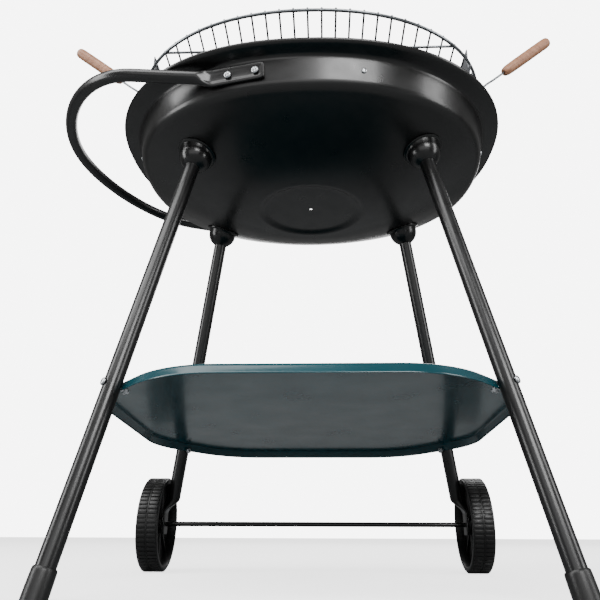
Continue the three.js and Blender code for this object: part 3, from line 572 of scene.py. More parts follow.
def to_mesh(shape: Shape, name: str) -> bpy.types.Mesh:
    """Makes a mesh in metres in the frame, with outward faces where it has faces.

    Args:
        shape: the shape round the bowl's axis.
        name: the mesh's name.

    Returns:
        The mesh.
    """
    mesh = bpy.data.meshes.new(name)
    placed = [(p.x * MM, (p.y + BOWL_Y) * MM, p.z * MM) for p in shape.points]
    mesh.from_pydata(placed, shape.edges, shape.faces)
    if shape.faces:
        work = bmesh.new()
        work.from_mesh(mesh)
        bmesh.ops.remove_doubles(work, verts=work.verts, dist=1e-6)
        bmesh.ops.recalc_face_normals(work, faces=work.faces)
        work.to_mesh(mesh)
        work.free()
    return mesh


def evaluated(source: bpy.types.Object, name: str) -> bpy.types.Object:
    """Turns an object with modifiers into a new one with a plain mesh, and deletes the first.

    Args:
        source: the object to use up.
        name: the new one's name.

    Returns:
        The new object.
    """
    graph = bpy.context.evaluated_depsgraph_get()
    graph.update()
    mesh = bpy.data.meshes.new_from_object(source.evaluated_get(graph))
    bpy.data.objects.remove(source)
    plain = bpy.data.objects.new(name, mesh)
    bpy.context.scene.collection.objects.link(plain)
    return plain


def loose_object(mesh: bpy.types.Mesh) -> bpy.types.Object:
    """Links a mesh as a working object.

    Args:
        mesh: the mesh.

    Returns:
        The object.
    """
    item = bpy.data.objects.new(mesh.name, mesh)
    bpy.context.scene.collection.objects.link(item)
    return item


def dress(
    piece: bpy.types.Object, finish: Finish, body: Body, replaced: Sequence[str],
    crisp: float = CRISP_DEGREES,
) -> bpy.types.Object:
    """Gives a finished mesh its surface, its body and the frame nodes it stands for.

    Args:
        piece: the object, at the origin.
        finish: its surface.
        body: the body it rides on.
        replaced: the frame's nodes that it replaces.
        crisp: edges sharper than this many degrees stay crisp.

    Returns:
        The same object.
    """
    mesh = piece.data
    mesh.materials.clear()
    mesh.materials.append(finish.build())
    for polygon in mesh.polygons:
        polygon.material_index = 0
        polygon.use_smooth = True
    mesh.set_sharp_from_angle(angle=math.radians(crisp))
    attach(piece, body.value)
    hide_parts(*replaced)
    LOG.info("%s: %d faces on %s", piece.name, len(mesh.polygons), body.value)
    return piece


def ease(item: bpy.types.Object, width_mm: float, crisp: float) -> None:
    """Rounds an object's sharp edges with a modifier.

    Args:
        item: the object.
        width_mm: how far the rounding reaches.
        crisp: only edges sharper than this many degrees are rounded.
    """
    bevel = item.modifiers.new("eased", "BEVEL")
    bevel.width = width_mm * MM
    bevel.segments = 2
    bevel.limit_method = "ANGLE"
    bevel.angle_limit = math.radians(crisp)


def make_piece(
    name: str, shape: Shape, finish: Finish, body: Body, replaced: Sequence[str],
    crisp: float = CRISP_DEGREES, bevel_mm: float = 0.0,
) -> bpy.types.Object:
    """Makes one finished piece from a shape, with its sharp edges eased if asked.

    Args:
        name: its name.
        shape: the shape.
        finish: its surface.
        body: the body it rides on.
        replaced: the frame's nodes that it replaces.
        crisp: edges sharper than this many degrees stay crisp.
        bevel_mm: how far sharp edges are eased.

    Returns:
        The finished piece.
    """
    item = loose_object(to_mesh(shape, name + "_work"))
    if bevel_mm:
        ease(item, bevel_mm, crisp)
    return dress(evaluated(item, name), finish, body, replaced, crisp)


# ---------------------------------------------------------------- geometry nodes


@dataclass
class NodeTool:
    """A Geometry Nodes tree with named inputs, run once on an object."""

    tree: bpy.types.NodeTree

    def run(self, item: bpy.types.Object, name: str, **values: Any) -> bpy.types.Object:
        """Applies the tree and returns the result as a plain mesh object.

        Args:
            item: the object that carries the points or lines; it is used up.
            name: the result's name.
            values: input name, with spaces as underscores, to value.

        Returns:
            The new object.
        """
        modifier = item.modifiers.new("tool", "NODES")
        modifier.node_group = self.tree
        for socket in self.tree.interface.items_tree:
            key = socket.name.replace(" ", "_").lower()
            if getattr(socket, "in_out", "") == "INPUT" and key in values:
                modifier[socket.identifier] = values[key]
        return evaluated(item, name)


def new_tool(
    name: str, inputs: Sequence[tuple[str, str]]
) -> tuple[bpy.types.NodeTree, bpy.types.Node]:
    """Starts a Geometry Nodes tree.

    Args:
        name: the tree's name.
        inputs: pairs of input name and socket type, after the geometry.

    Returns:
        The tree and its input node.
    """
    tree = bpy.data.node_groups.new(name, "GeometryNodeTree")
    tree.interface.new_socket("Geometry", in_out="INPUT", socket_type="NodeSocketGeometry")
    for label, kind in inputs:
        tree.interface.new_socket(label, in_out="INPUT", socket_type=kind)
    tree.interface.new_socket("Geometry", in_out="OUTPUT", socket_type="NodeSocketGeometry")
    return tree, tree.nodes.new("NodeGroupInput")


def end_tool(
    tree: bpy.types.NodeTree, start: bpy.types.Node, last: bpy.types.NodeSocket
) -> NodeTool:
    """Ends a tree in Realize Instances, smooth shading and Set Material.

    Args:
        tree: the tree.
        start: its input node.
        last: the geometry to finish.

    Returns:
        The tool.
    """
    real = add_node(tree, "GeometryNodeRealizeInstances", links={"Geometry": last})
    shaded = add_node(
        tree, "GeometryNodeSetShadeSmooth", links={"Geometry": real.outputs["Geometry"]},
    )
    painted = add_node(
        tree, "GeometryNodeSetMaterial",
        links={"Geometry": shaded.outputs["Geometry"], "Material": start.outputs["Material"]},
    )
    add_node(tree, "NodeGroupOutput", links={"Geometry": painted.outputs["Geometry"]})
    return NodeTool(tree)


def wire_tool() -> NodeTool:
    """Round wire along every chain of edges.

    Returns:
        The tool.
    """
    tree, start = new_tool("round_wire", [
        ("Wire Radius", "NodeSocketFloat"), ("Sides", "NodeSocketInt"),
        ("Material", "NodeSocketMaterial"),
    ])
    lines = add_node(tree, "GeometryNodeMeshToCurve", links={"Mesh": start.outputs["Geometry"]})
    section = add_node(
        tree, "GeometryNodeCurvePrimitiveCircle",
        links={"Radius": start.outputs["Wire Radius"], "Resolution": start.outputs["Sides"]},
    )
    wire = add_node(
        tree, "GeometryNodeCurveToMesh", {"Fill Caps": True},
        {"Curve": lines.outputs["Curve"], "Profile Curve": section.outputs["Curve"]},
    )
    return end_tool(tree, start, wire.outputs["Mesh"])


def copy_tool() -> NodeTool:
    """A copy of one pattern on every point, its Z along "facing" and its X along "across".

    Returns:
        The tool.
    """
    tree, start = new_tool("copies_on_points", [
        ("Pattern", "NodeSocketObject"), ("Material", "NodeSocketMaterial"),
    ])
    facing = add_node(
        tree, "GeometryNodeInputNamedAttribute", {"Name": "facing"}, data_type="FLOAT_VECTOR",
    )
    across = add_node(
        tree, "GeometryNodeInputNamedAttribute", {"Name": "across"}, data_type="FLOAT_VECTOR",
    )
    upright = add_node(
        tree, "FunctionNodeAlignRotationToVector", links={"Vector": facing.outputs["Attribute"]},
        axis="Z",
    )
    turned = add_node(
        tree, "FunctionNodeAlignRotationToVector",
        links={"Rotation": upright.outputs["Rotation"], "Vector": across.outputs["Attribute"]},
        axis="X", pivot_axis="Z",
    )
    pattern = add_node(tree, "GeometryNodeObjectInfo", links={"Object": start.outputs["Pattern"]})
    copies = add_node(
        tree, "GeometryNodeInstanceOnPoints",
        links={
            "Points": start.outputs["Geometry"], "Instance": pattern.outputs["Geometry"],
            "Rotation": turned.outputs["Rotation"],
        },
    )
    return end_tool(tree, start, copies.outputs["Instances"])


WIRES = wire_tool()
COPIES = copy_tool()


def wire_object(
    name: str, lines: Shape, radius: float, finish: Finish, sides: int = 12
) -> bpy.types.Object:
    """Turns chains of edges into round wire.

    Args:
        name: its name.
        lines: the chains.
        radius: of the wire.
        finish: its surface.
        sides: points round the wire.

    Returns:
        The wire as a plain mesh.
    """
    item = loose_object(to_mesh(lines, name + "_lines"))
    return WIRES.run(item, name, wire_radius=radius * MM, sides=sides, material=finish.build())


def joined(items: Sequence[bpy.types.Object], name: str) -> bpy.types.Object:
    """Joins plain meshes at the origin into one.

    Args:
        items: the meshes; they are used up.
        name: the result's name.

    Returns:
        The joined object.
    """
    work = bmesh.new()
    for item in items:
        work.from_mesh(item.data)
    mesh = bpy.data.meshes.new(name)
    work.to_mesh(mesh)
    work.free()
    for item in items:
        bpy.data.objects.remove(item)
    return loose_object(mesh)


@dataclass(frozen=True)
class Spot:
    """A place for one copied piece: its seat, its outward direction and its sideways one."""

    at: Vector
    facing: Vector
    across: Vector = X_AXIS


def copies(
    name: str, pattern: Shape, spots: Sequence[Spot], finish: Finish, bevel_mm: float = 0.0,
    cutter: Optional[Shape] = None,
) -> bpy.types.Object:
    """Places a copy of a pattern at every spot, as one plain mesh.

    Args:
        name: the result's name.
        pattern: the piece with its seat at the origin and +Z outwards.
        spots: where the copies go.
        finish: their surface.
        bevel_mm: how far sharp edges are eased.
        cutter: a shape taken out of the pattern first.

    Returns:
        The new object.
    """
    shift = Matrix.Translation((0, -BOWL_Y, 0))
    model = loose_object(to_mesh(pattern.moved(shift), name + "_pattern"))
    if cutter is not None:
        tool = loose_object(to_mesh(cutter.moved(shift), name + "_cutter"))
        cut = model.modifiers.new("cut", "BOOLEAN")
        cut.operation = "DIFFERENCE"
        cut.solver = "EXACT"
        cut.object = tool
        model = evaluated(model, name + "_cut")
        bpy.data.objects.remove(tool)
    if bevel_mm:
        ease(model, bevel_mm, 40)
        model = evaluated(model, name + "_eased")
    carrier = to_mesh(Shape([spot.at for spot in spots]), name + "_spots")
    for label, pick in (("facing", lambda s: s.facing), ("across", lambda s: s.across)):
        layer = carrier.attributes.new(label, "FLOAT_VECTOR", "POINT")
        layer.data.foreach_set("vector", [c for spot in spots for c in pick(spot).normalized()])
    result = COPIES.run(loose_object(carrier), name, pattern=model, material=finish.build())
    bpy.data.objects.remove(model)
    return result


def aim(at: Vector, direction: Vector) -> Matrix:
    """A frame at a point whose Z looks along a direction."""
    turn = Z_AXIS.rotation_difference(direction.normalized())
    return Matrix.Translation(at) @ turn.to_matrix().to_4x4()


def oval_ring(
    half_width: float, half_depth: float, squareness: float, z: float, count: int
) -> Shape:
    """A closed line round a superellipse.

    Args:
        half_width: reach along X.
        half_depth: reach along Y.
        squareness: the superellipse's power.
        z: its height.
        count: number of points.

    Returns:
        The ring.
    """
    angles = [TAU * i / count for i in range(count)]
    points = [superellipse(half_width, half_depth, squareness, angle) for angle in angles]
    return Shape.line([Vector((*p, z)) for p in points], closed=True)


def block(low: Sequence[float], high: Sequence[float]) -> Shape:
    """A block between two corners, for pieces whose edges are then eased.

    Args:
        low: the corner with the smallest coordinates.
        high: the opposite corner.

    Returns:
        The block.
    """
    outline = [
        Vector((low[0], low[1], low[2])), Vector((high[0], low[1], low[2])),
        Vector((high[0], high[1], low[2])), Vector((low[0], high[1], low[2])),
    ]
    return Shape.plate(outline, Vector((0, 0, high[2] - low[2])))


@dataclass(frozen=True)
class Station:
    """One cross-section of a tube: where, which way, and how far it is pressed flat."""

    at: Vector
    along: Vector
    side: Vector
    half_side: float
    half_up: float
    flat: float
    crease: float = 0.0


def tube_shape(stations: Sequence[Station], count: int) -> Shape:
    """Skins stations whose section goes from round to flat, with an optional pressed crease.

    Args:
        stations: the cross-sections in order.
        count: points in each section.

    Returns:
        A closed tube.
    """
    rings = []
    for station in stations:
        up = station.along.cross(station.side).normalized()
        across = up.cross(station.along).normalized()
        ring = []
        for i in range(count):
            x, y = superellipse(
                station.half_side, station.half_up, 2 + 3 * station.flat, TAU * (i + 0.5) / count
            )
            dent = station.crease * (1 - smooth((abs(y) - 5.0) / 4.5))
            ring.append(station.at + across * (x - math.copysign(dent, x)) + up * y)
        rings.append(ring)
    return Shape.loft(rings)


# ---------------------------------------------------------------- sub-assemblies


@dataclass
class Bowl:
    """The pressed, enamelled bowl. Its section is (half depth, height), drawn out to an oval."""

    rim_half_depth: float = 277.5
    extra_width: float = 30.5
    squareness: float = 2.25
    ring_radius: float = 91.0
    sheet: float = 1.5
    drain: float = 2.6
    base: float = 566.0
    rim_top: float = 676.0
    wall_half: float = 251.5
    wall_low: float = 631.0
    wall_spread: float = 4.0
    wall_height: float = 30.0
    recess_rise: float = 4.0
    columns: int = 192
    lean: float = math.atan2(4, 30)

    def outline(self, half_depth: float) -> tuple[float, float, float]:
        """Half width, half depth and squareness of the bowl where its half depth is given.

        Args:
            half_depth: reach from the axis, front to back.

        Returns:
            Half width, half depth and squareness.
        """
        span = self.rim_half_depth - self.ring_radius
        share = min(max((half_depth - self.ring_radius) / span, 0.0), 1.0)
        return half_depth + self.extra_width * share, half_depth, 2 + (self.squareness - 2) * share

    def section(self) -> list[Vector]:
        """The outer side from the drain to the rim.

        Returns:
            Points of (half depth, height).
        """
        top = self.base + self.recess_rise
        points = [Vector((r, top)) for r in (self.drain, 8.0, 20.0, 36.0, 52.0, 66.0)]
        for i in range(9):
            t = i / 8
            points.append(Vector((72 + 15 * t, top - (self.recess_rise + 0.3) * smooth(t))))
        points.append(Vector((89.5, self.base - 0.15)))
        points += bezier(
            [Vector(p) for p in ((91.5, 566.1), (151, 572), (208.5, 602), (238.5, 617))], 26
        )
        start, middle, end = Vector((238.5, 617)), Vector((250.5, 622)), Vector((251.5, 631))
        for i in range(1, 9):
            t = i / 8
            points.append(start * (1 - t) ** 2 + middle * 2 * t * (1 - t) + end * t * t)
        for i in range(1, 6):
            points.append(Vector((251.5 + 4 * i / 5, 631 + 29 * i / 5)))
        points += [Vector(p) for p in (
            (255.9, 662.6), (256.7, 664.2), (258.4, 665.6), (261.0, 666.6), (267.0, 668.2),
            (272.6, 669.6), (275.2, 670.5), (276.8, 671.8), (277.5, 673.4), (277.5, 675.0),
            (277.2, 675.7), (276.6, 676.0),
        )]
        return points

    def build(self) -> None:
        """Makes the double-walled sheet and dresses it."""
        outer = self.section()
        inner = []
        for i, point in enumerate(outer):
            along = (outer[min(i + 1, len(outer) - 1)] - outer[max(i - 1, 0)]).normalized()
            reach = point.x - along.y * self.sheet if i else self.drain
            inner.append(Vector((reach, min(point.y + along.x * self.sheet, self.rim_top))))
        rings = []
        for point in outer + inner[::-1]:
            a, b, n = self.outline(point.x)
            ring = []
            for i in range(self.columns):
                x, y = superellipse(a, b, n, TAU * i / self.columns)
                ring.append(Vector((x, y, point.y)))
            rings.append(ring)
        shell = Shape.loft(rings, looped=True)
        make_piece("bowl_shell", shell, BLACK_ENAMEL, Body.GRILL, ["bowl"], 50)

    def wall_half_depth(self, z: float) -> float:
        """Half depth of the upright wall's outer face at a height."""
        return self.wall_half + self.wall_spread * (z - self.wall_low) / self.wall_height

    def wall_depth(self, x: float, z: float) -> float:
        """Axis to the wall's outer face, front to back, at x."""
        a, b, n = self.outline(self.wall_half_depth(z))
        return reach_at(b, a, n, x)

    def wall_width(self, y: float, z: float) -> float:
        """Axis to the wall's outer face, sideways, at y."""
        a, b, n = self.outline(self.wall_half_depth(z))
        return reach_at(a, b, n, y)

    def square_to_wall(self, level: Vector) -> Vector:
        """Leans a level direction down so that it stands square on the wall."""
        out = level.normalized() * math.cos(self.lean)
        return Vector((out.x, out.y, -math.sin(self.lean)))

    def wall_normal(self, x: float, y: float, z: float) -> Vector:
        """The wall's outward direction at a point.

        Args:
            x: sideways.
            y: front to back.
            z: height.

        Returns:
            A unit direction.
        """
        a, b, n = self.outline(self.wall_half_depth(z))
        return self.square_to_wall(Vector((
            math.copysign(abs(x) ** (n - 1) / a ** n, x),
            math.copysign(abs(y) ** (n - 1) / b ** n, y), 0,
        )))

    def height_at(self, x: float, y: float) -> float:
        """Height of the outer face over a point in plan, in the dish.

        Args:
            x: sideways.
            y: front to back.

        Returns:
            The height.
        """
        low, high = 0.0, self.rim_half_depth
        for _ in range(36):
            middle = (low + high) / 2
            a, b, n = self.outline(middle)
            if (abs(x) / a) ** n + (abs(y) / b) ** n < 1:
                high = middle
            else:
                low = middle
        section = self.section()
        for before, after in zip(section, section[1:]):
            if before.x <= low < after.x:
                return before.y + (after.y - before.y) * (low - before.x) / (after.x - before.x)
        return section[-1].y


@dataclass
class Legs:
    """Four splayed tubes in moulded sockets; the rear pair ends flat on the wheel hubs."""

    bowl: Bowl
    socket_half_width: float = 168.3
    socket_half_depth: float = 130.5
    socket_z: float = 595.3
    foot_half_width: float = 270.6
    foot_half_depth: float = 260.0
    radius: float = 11.0
    ball: float = 24.5
    drop: float = 5.0
    flange: float = 29.5
    cap_radius: float = 13.5
    cap_height: float = 32.0
    flat_x: float = 263.7
    flat_y: float = 236.0
    flat_top: float = 95.8
    flat_half: float = 2.5
    flat_half_height: float = 14.0
    bolt_seat: float = 2.234 + 1.5 + 2.2
    bend_z: float = 121.8

    def point(self, xs: int, ys: int, z: float) -> Vector:
        """A point on a leg's axis.

        Args:
            xs: -1 on the left, 1 on the right.
            ys: -1 in front, 1 behind.
            z: its height.

        Returns:
            The point.
        """
        share = 1 - z / self.socket_z
        return Vector((
            xs * (self.socket_half_width + (self.foot_half_width - self.socket_half_width) * share),
            ys * (self.socket_half_depth + (self.foot_half_depth - self.socket_half_depth) * share),
            z,
        ))

    def up(self, xs: int, ys: int) -> Vector:
        """The direction up a leg."""
        return (self.point(xs, ys, self.socket_z) - self.point(xs, ys, 0)).normalized()

    def to_bowl(self, start: Vector, up: Vector) -> float:
        """Distance from a point along the leg's direction to the bowl's outer face.

        Args:
            start: the point.
            up: the leg's direction.

        Returns:
            The distance.
        """
        distance = 0.0
        for _ in range(10):
            here = start + up * distance
            distance += (self.bowl.height_at(here.x, here.y) - here.z) / up.z
        return distance

    def leg(self, xs: int, ys: int) -> Shape:
        """One leg as a closed tube.

        Args:
            xs: -1 on the left, 1 on the right.
            ys: -1 in front, 1 behind.

        Returns:
            The tube.
        """
        up = self.up(xs, ys)
        side = Vector((xs, 0, 0))
        round_part = dict(side=side, half_side=self.radius, half_up=self.radius, flat=0.0)
        top = self.point(xs, ys, self.socket_z) - up * 3
        if ys < 0:
            ends = (top, self.point(xs, ys, 10.3))
            return tube_shape([Station(at=p, along=-up, **round_part) for p in ends], 48)
        stations = [Station(at=top, along=-up, **round_part)]
        bend = self.point(xs, ys, self.bend_z)
        flat_top = Vector((xs * self.flat_x, self.flat_y, self.flat_top))
        path = bezier([bend, bend - up * 9, flat_top + Z_AXIS * 9, flat_top], 14)
        for i, here in enumerate(path):
            t = smooth(i / 14)
            stations.append(Station(
                at=here, along=(-up).lerp(-Z_AXIS, t).normalized(), side=side,
                half_side=self.radius + (self.flat_half - self.radius) * t,
                half_up=self.radius + (self.flat_half_height - self.radius) * t, flat=t,
            ))
        for z, half_up in ((75.0, 14.0), (64.5, 14.0), (62.0, 13.2), (60.8, 11.0)):
            stations.append(Station(
                at=Vector((flat_top.x, flat_top.y, z)), along=-Z_AXIS, side=side,
                half_side=self.flat_half, half_up=half_up, flat=1.0,
            ))
        return tube_shape(stations, 48)

    def socket(self, xs: int, ys: int) -> Shape:
        """A ball with a flange that follows the bowl's outer face.

        Args:
            xs: -1 on the left, 1 on the right.
            ys: -1 in front, 1 behind.

        Returns:
            The socket.
        """
        up = self.up(xs, ys)
        frame_at = aim(self.point(xs, ys, self.socket_z), up)
        count = 64
        seat = {}
        for radius in (self.flange, self.ball + 1.5):
            for i in range(count):
                spot = frame_at @ polar(radius, i / count, 0)
                seat[radius, i] = self.to_bowl(spot, up) - SEAT_GAP
        rings = []

        def ring(radius: float, height: Callable[[int], float]) -> None:
            """Adds one ring with its own height at each column.

            Args:
                radius: of the ring.
                height: column number to height.
            """
            rings.append([polar(radius, i / count, height(i)) for i in range(count)])

        low = -math.sqrt(self.ball ** 2 - 12.0 ** 2)
        ring(11.3, lambda i: -6.0)
        ring(11.3, lambda i: low - self.drop - 0.4)
        ring(11.7, lambda i: low - self.drop - 0.3)
        for step in range(15):
            tilt = math.asin(low / self.ball) * (1 - step / 14)
            height = self.ball * math.sin(tilt) - self.drop
            ring(
                self.ball * math.cos(tilt),
                lambda i, h=height: min(h, seat[self.ball + 1.5, i] - 3.4),
            )
        ring(self.ball + 1.5, lambda i: seat[self.ball + 1.5, i] - 2.9)
        ring(self.flange - 0.8, lambda i: seat[self.flange, i] - 2.4)
        ring(self.flange, lambda i: seat[self.flange, i] - 1.7)
        ring(self.flange, lambda i: seat[self.flange, i] - 0.3)
        ring(self.flange - 0.5, lambda i: seat[self.flange, i])
        ring(self.ball + 1.5, lambda i: seat[self.ball + 1.5, i])
        ring(6.0, lambda i: self.to_bowl(frame_at.translation, up) - SEAT_GAP)
        return Shape.loft(rings).moved(frame_at)

    def foot(self, xs: int) -> Shape:
        """A moulded cap over the tube's end, its sole level on the floor.

        Args:
            xs: -1 on the left, 1 on the right.

        Returns:
            The cap.
        """
        up = self.up(xs, -1)
        place = aim(self.point(xs, -1, 0), up)
        profile = [
            (self.cap_radius - 2.0, -14.0), (self.cap_radius - 0.2, -10.0), (self.cap_radius, -4.0),
            (self.cap_radius, 12.0), (self.cap_radius - 0.3, self.cap_height - 4),
            (self.cap_radius - 0.6, self.cap_height - 1.2),
            (self.cap_radius - 1.4, self.cap_height),
            (self.radius + 0.3, self.cap_height), (self.radius + 0.3, self.cap_height - 6),
        ]
        shape = Shape.turned(profile, 48).moved(place)
        for p in shape.points:
            if p.z < 0:
                p += up * (-p.z / up.z)
        return shape

    def build(self) -> None:
        """Makes legs, sockets, caps and the bolts inside the bowl."""
        bolts = []
        for ys, row in ROWS:
            for xs, side in ENDS:
                make_piece(
                    f"{row}_leg_tube_{side}", self.leg(xs, ys), BLACK_POWDER, Body.GRILL,
                    [f"{row}_leg_{side}"],
                )
                make_piece(
                    f"socket_{row}_{side}", self.socket(xs, ys), GLOSS_PLASTIC, Body.GRILL,
                    [f"leg_socket_{row}_{side}"],
                )
                up = self.up(xs, ys)
                bolts.append(Spot(self.point(xs, ys, self.socket_z) + up * self.bolt_seat, up))
        for xs, side in ENDS:
            make_piece(
                f"foot_sleeve_{side}", self.foot(xs), BLACK_PLASTIC, Body.GRILL,
                [f"foot_cap_{side}"],
            )
        head = Shape.turned([(4.6, 1.2), (5.5, 1.7), (5.5, 4.4), (4.7, 5.2)], 6)
        head.add(Shape.turned([(7.4, -0.1), (8.0, 0.2), (8.0, 0.9), (7.4, 1.2)], 32))
        head.add(Shape.turned([(3.0, -8.0), (3.0, 1.3)], 16))
        names = [f"leg_bolt_{row}_{side}" for _, row in ROWS for _, side in ENDS]
        dress(copies("leg_bolt_heads", head, bolts, ZINC_PLATE), ZINC_PLATE, Body.GRILL, names)


@dataclass
class Wheels:
    """Two moulded wheels with ribbed treads, on a plain axle with pressed hub caps."""

    radius: float = 77.8
    width: float = 36.0
    half_track: float = 276.5
    axle_y: float = 236.0
    ribs: int = 64
    spokes: int = 8
    tread_depth: float = 1.6
    web_half: float = 2.5
    cap_x: float = 290.8

    def web(self) -> Shape:
        """The disc between hub and rim, with a trapezoid window between each pair of spokes.

        Returns:
            The disc.
        """
        radii = [14.0, 18.0, 25.0, 33.0, 42.0, 53.0, 57.0, 68.0]
        count = self.spokes * 12
        shape = Shape()
        for z in (-self.web_half, self.web_half):
            for r in radii:
                shape.points += [polar(r, j / count, z) for j in range(count)]

        def open_cell(i: int, j: int) -> bool:
            """Whether a cell of the disc is cut away.

            Args:
                i: its ring number.
                j: its column.

            Returns:
                True where there is a window.
            """
            if not 0 <= i < len(radii) - 1:
                return False
            step = j % 12
            slot = i == 5 and step in (5, 6) and (j // 12) % 2 == 0
            return (i in (1, 2) and 3 <= step <= 8) or slot

        layer = len(radii) * count
        for i in range(len(radii) - 1):
            for j in range(count):
                k = (j + 1) % count
                if open_cell(i, j):
                    continue
                a, b = i * count + j, i * count + k
                c, d = b + count, a + count
                shape.faces += [(a, d, c, b), (a + layer, b + layer, c + layer, d + layer)]
                for p, q, ni, nj in (
                    (a, b, i - 1, j), (c, d, i + 1, j), (b, c, i, k), (d, a, i, (j - 1) % count),
                ):
                    if open_cell(ni, nj) or not 0 <= ni < len(radii) - 1:
                        shape.faces.append((p, q, q + layer, p + layer))
        return shape

    def wheel(self, xs: int, side: str, body: Body) -> None:
        """Makes one wheel from its turned parts, ribs and spokes.

        Args:
            xs: -1 on the left, 1 on the right.
            side: left or right.
            body: the body it turns with.
        """
        half = self.width / 2
        crown = self.radius - self.tread_depth
        centre = Vector((xs * self.half_track, self.axle_y, self.radius))
        turn = Matrix.Translation(centre) @ Matrix.Rotation(math.pi / 2 * xs, 4, "Y")
        rim = Shape.turned([
            (66.8, -3), (67.2, -12), (68.8, -half + 0.6), (69.8, -half), (74.2, -half),
            (75.6, -half + 0.7), (crown, -half + 2.4), (crown, -1.1), (self.radius - 0.4, -0.9),
            (self.radius - 0.2, 0.0), (self.radius - 0.4, 0.9), (crown, 1.1), (crown, half - 2.4),
            (75.6, half - 0.7), (74.2, half), (69.8, half), (68.8, half - 0.6), (67.2, 12),
            (66.8, 3),
        ], 112, looped=True)
        hub = Shape.turned([
            (4.2, -10), (13.6, -10), (15, -9), (15, 12.6), (14.2, 13.8), (12.6, 14), (12.0, 13.2),
            (5.4, 13.2), (4.2, 13.2),
        ], 48, looped=True)
        core = Shape().add(rim).add(hub).add(self.web()).moved(turn)
        parts = [loose_object(to_mesh(core, f"wheel_body_{side}"))]
        lugs, spokes = [], []
        for i in range(self.ribs):
            angle = TAU * (i + 0.5) / self.ribs
            out = Vector((0, math.cos(angle), math.sin(angle)))
            for row in SIDES:
                lugs.append(Spot(centre + out * crown + X_AXIS * (row * 8.6), out))
        for i in range(self.spokes):
            angle = TAU * i / self.spokes
            out = Vector((0, math.cos(angle), math.sin(angle)))
            spokes.append(Spot(centre + out * 41.0, out))
        lug = block((-7.3, -2.9, -1.0), (7.3, 2.9, self.tread_depth))
        spoke = block((-7.0, -1.7, -27.0), (7.0, 1.7, 26.6))
        parts.append(copies(f"lugs_{side}", lug, lugs, BLACK_PLASTIC, bevel_mm=0.7))
        parts.append(copies(f"spokes_{side}", spoke, spokes, BLACK_PLASTIC, bevel_mm=0.6))
        dress(joined(parts, f"ribbed_wheel_{side}"), BLACK_PLASTIC, body, [f"wheel_{side}"])

    def build(self) -> None:
        """Makes both wheels, the axle and the caps."""
        for xs, side, body in zip(SIDES, ("left", "right"), (Body.LEFT_WHEEL, Body.RIGHT_WHEEL)):
            self.wheel(xs, side, body)
            cap = Shape.turned([
                (4.4, 0), (10.4, 0), (11, 0.5), (11, 3.2), (10.4, 4.6), (8.6, 6.0), (5.0, 6.8),
                (1.0, 7.0),
            ], 40)
            start = Vector((xs * self.cap_x, self.axle_y, self.radius))
            cap = cap.moved(aim(start, X_AXIS * xs))
            make_piece(f"pressed_hub_cap_{side}", cap, ZINC_PLATE, Body.GRILL, [f"hub_cap_{side}"])
        axle = Shape.turned([(3.4, -295.6), (4.0, -295.0), (4.0, 295.0), (3.4, 295.6)], 32)
        axle = axle.moved(aim(Vector((0, self.axle_y, self.radius)), X_AXIS))
        make_piece("axle_rod", axle, BLACK_POWDER, Body.GRILL, ["axle"])


